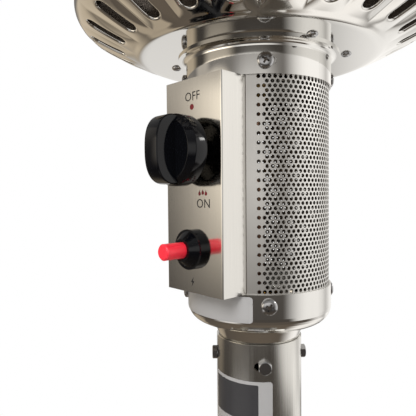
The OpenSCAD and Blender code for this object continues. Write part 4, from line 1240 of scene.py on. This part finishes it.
class HEATER_OT_stage(HeaterOperator):
    """Set the pale floor, the plain studio, the soft lights and the camera"""
    bl_idname = "heater.stage"
    bl_label = "Stage"

    floor_sides = 128
    floor_roughness = 0.8
    floor_glow = 0.2
    frame_width = 36
    near_clip = 10 * MM
    shades = ((-60, (0.14, 0.112, 0.085)), (-20, (0.065, 0.058, 0.052)), (10, (0.17, 0.155, 0.14)),
              (50, (0.40, 0.395, 0.385)))
    panels = (
        SoftPanel("right panel", 130, 0.9, 0.62, 2.4, 1.24, 0.95, fade=(0.45, 0.1, 0.1)),
        SoftPanel("rear panel", -168, 1.0, 0.62, 1.1, 1.24, 0.92, fade=(0.4, 0.1, 0.1)),
        SoftPanel("left rear panel", -126, 1.0, 0.50, 0.7, 1.00, 0.74, fade=(0.4, 0.25, 0.25)),
        SoftPanel("left panel", -90, 1.0, 0.50, 1.1, 1.00, 0.50, GOLD, (0.35, 0.4, 0.25)),
        SoftPanel("front panel", -20.5, 1.2, 0.56, 1.5, 0.94, 1.80, WARM, (0.33, 0.75, 0.1)),
        SoftPanel("key panel", 37, 1.2, 0.70, 2.2, 0.90, 0.82, fade=(0.4, 0.4, 0.4)),
        SoftPanel("upper left panel", -52, 1.2, 0.98, 0.9, 0.60, 0.30, WARM, (0.35, 0.6, 0.1)),
        SoftPanel("rear lamp", 143, 1.2, 1.22, 0.5, 0.20, 11.0, fade=(0.2, 0.2, 0.2)),
        SoftPanel("front card", -8, 0.9, -0.10, 1.3, 0.40, 0.7, fade=(0.45, 0.25, 0.25)),
        SoftPanel("left card", -100, 0.95, -0.10, 1.2, 0.40, 0.35, GOLD, (0.45, 0.25, 0.25)),
        SoftPanel("floor card", 165, 0.5, 0.04, 0.9, 0.7, 1.0, fade=(0.45, 0.3, 0.3)),
        SoftPanel("top panel", 180, 0.2, 2.4, 1.8, 1.8, 0.9, fade=(0.35, 0.35, 0.35)),
        SoftPanel("near fill", 25, 0.62, 1.02, 0.5, 0.5, 14.0, mirrored=False),
    )

    def room(self, scene):
        """A studio that is white to the camera and shades from dark below to light above in reflections."""
        world = bpy.data.worlds.new("plain studio")
        scene.world = world
        world.use_nodes = True
        tree = world.node_tree
        tree.nodes.clear()
        way = tree.nodes.new("ShaderNodeTexCoord").outputs["Generated"]
        rise = maths(tree)("ARCSINE", add(tree, "ShaderNodeSeparateXYZ", {0: way}).outputs[2])
        share = made(tree, "ShaderNodeMapRange", {"Value": rise, "From Min": -math.pi / 2,
                                                  "From Max": math.pi / 2})
        ramp = add(tree, "ShaderNodeValToRGB", {0: share})
        points = ramp.color_ramp.elements
        points.remove(points[-1])
        for k, (elevation, shade) in enumerate(self.shades):
            place = (elevation + 90) / 180
            point = points[0] if k == 0 else points.new(place)
            point.position = place
            point.color = (*shade, 1)
        studio = made(tree, "ShaderNodeBackground", {"Color": ramp.outputs[0]})
        paper = made(tree, "ShaderNodeBackground", {"Color": WHITE})
        seen = tree.nodes.new("ShaderNodeLightPath").outputs["Is Camera Ray"]
        both = made(tree, "ShaderNodeMixShader", {0: seen, 1: studio, 2: paper})
        add(tree, "ShaderNodeOutputWorld", {"Surface": both})

    def floor(self, stage):
        """A pale round floor under the feet."""
        bm = bmesh.new()
        bmesh.ops.create_circle(bm, cap_ends=True, segments=self.floor_sides, radius=stage.floor_r)
        bmesh.ops.translate(bm, verts=bm.verts, vec=(0, 0, CAD_BOX[0][2]))
        material, tree, shader, place = blank_finish("pale floor")
        cloud = made(tree, "ShaderNodeTexNoise", {"Vector": place, "Scale": 6.0, "Detail": 3.0})
        feed(tree, shader, {
            "Base Color": two_tones(tree, cloud, shade_of(stage.floor, 0.98), stage.floor),
            "Roughness": self.floor_roughness,
            "Emission Color": WHITE,
            "Emission Strength": self.floor_glow,
        })
        floor = new_piece("floor", bm, smooth=0)
        floor.data.materials.append(material)
        floor.visible_glossy = False

    def light_panel(self, panel):
        """A light panel with soft edges that faces the heater's head and is hidden from the camera."""
        light = bpy.data.lights.new(panel.name, "AREA")
        light.shape = "RECTANGLE"
        light.size, light.size_y = panel.width, panel.height
        light.energy = panel.brightness * math.pi * panel.width * panel.height
        light.color = panel.tint
        light.use_nodes = True
        tree = light.node_tree
        m = maths(tree)
        spot = tree.nodes.new("ShaderNodeNewGeometry").outputs["Parametric"]
        across, up, _ = add(tree, "ShaderNodeSeparateXYZ", {0: spot}).outputs
        sides, foot, top = panel.fade
        glow = 1.0
        for inset, fade in ((m("MINIMUM", across, m("SUBTRACT", 1.0, across)), sides), (up, foot),
                            (m("SUBTRACT", 1.0, up), top)):
            edge = made(tree, "ShaderNodeMapRange", {"Value": inset, "From Max": fade},
                        interpolation_type="SMOOTHSTEP")
            glow = m("MULTIPLY", glow, edge)
        feed(tree, tree.nodes["Emission"], {"Strength": glow})
        lamp = bpy.data.objects.new(panel.name, light)
        lamp.location = round_point(panel.distance, math.radians(panel.azimuth), panel.middle)
        head = Vector((0, 0, COLLAR_BOTTOM))
        lamp.rotation_euler = (head - lamp.location).to_track_quat("-Z", "Y").to_euler()
        lamp.visible_camera = False
        lamp.visible_glossy = panel.mirrored
        bpy.context.scene.collection.objects.link(lamp)

    def camera(self, scene, stage):
        """The photograph's view: heading, pitch and roll about the camera's place."""
        data = bpy.data.cameras.new("view")
        data.sensor_width = self.frame_width
        data.lens = stage.lens
        data.clip_start = self.near_clip
        camera = bpy.data.objects.new("view", data)
        scene.collection.objects.link(camera)
        level = math.pi / 2
        camera.matrix_world = (Matrix.Translation(stage.eye) @ Matrix.Rotation(stage.heading, 4, "Z")
                               @ Matrix.Rotation(level + stage.pitch, 4, "X")
                               @ Matrix.Rotation(stage.roll, 4, "Z"))
        scene.camera = camera

    def execute(self, context):
        scene = context.scene
        stage = scene.heater_stage
        self.room(scene)
        self.floor(stage)
        for panel in self.panels:
            self.light_panel(panel)
        self.camera(scene, stage)
        scene.view_settings.view_transform = "Standard"
        return {"FINISHED"}


class HEATER_PT_looks(bpy.types.Panel):
    """The heater's operators and settings in the sidebar"""
    bl_label = "Heater"
    bl_idname = "HEATER_PT_looks"
    bl_space_type = "VIEW_3D"
    bl_region_type = "UI"
    bl_category = "Heater"

    def draw(self, context):
        for operator in OPERATORS:
            self.layout.operator(operator.bl_idname)
        for group, cls in GROUPS.items():
            box = self.layout.box()
            for name in cls.__annotations__:
                box.prop(getattr(context.scene, group), name)


OPERATORS = (HEATER_OT_finishes, HEATER_OT_shroud, HEATER_OT_screen, HEATER_OT_dish, HEATER_OT_reflector,
             HEATER_OT_knob, HEATER_OT_fasteners, HEATER_OT_marks, HEATER_OT_labels, HEATER_OT_stage)
GROUPS = {"heater_sheet": HeaterSheetSizes, "heater_controls": HeaterControlSizes,
          "heater_finish": HeaterFinish, "heater_stage": HeaterStage}
CLASSES = (*GROUPS.values(), *OPERATORS, HEATER_PT_looks)


def register():
    for cls in CLASSES:
        bpy.utils.register_class(cls)
    for name, cls in GROUPS.items():
        setattr(bpy.types.Scene, name, PointerProperty(type=cls))


def unregister():
    for name in GROUPS:
        delattr(bpy.types.Scene, name)
    for cls in reversed(CLASSES):
        bpy.utils.unregister_class(cls)


def main():
    register()
    bpy.ops.heater.finishes()
    bpy.ops.heater.shroud()
    bpy.ops.heater.screen()
    bpy.ops.heater.dish()
    bpy.ops.heater.reflector()
    bpy.ops.heater.knob()
    bpy.ops.heater.fasteners()
    bpy.ops.heater.marks()
    bpy.ops.heater.labels()
    bpy.ops.heater.stage()


if __name__ == "__main__":
    main()
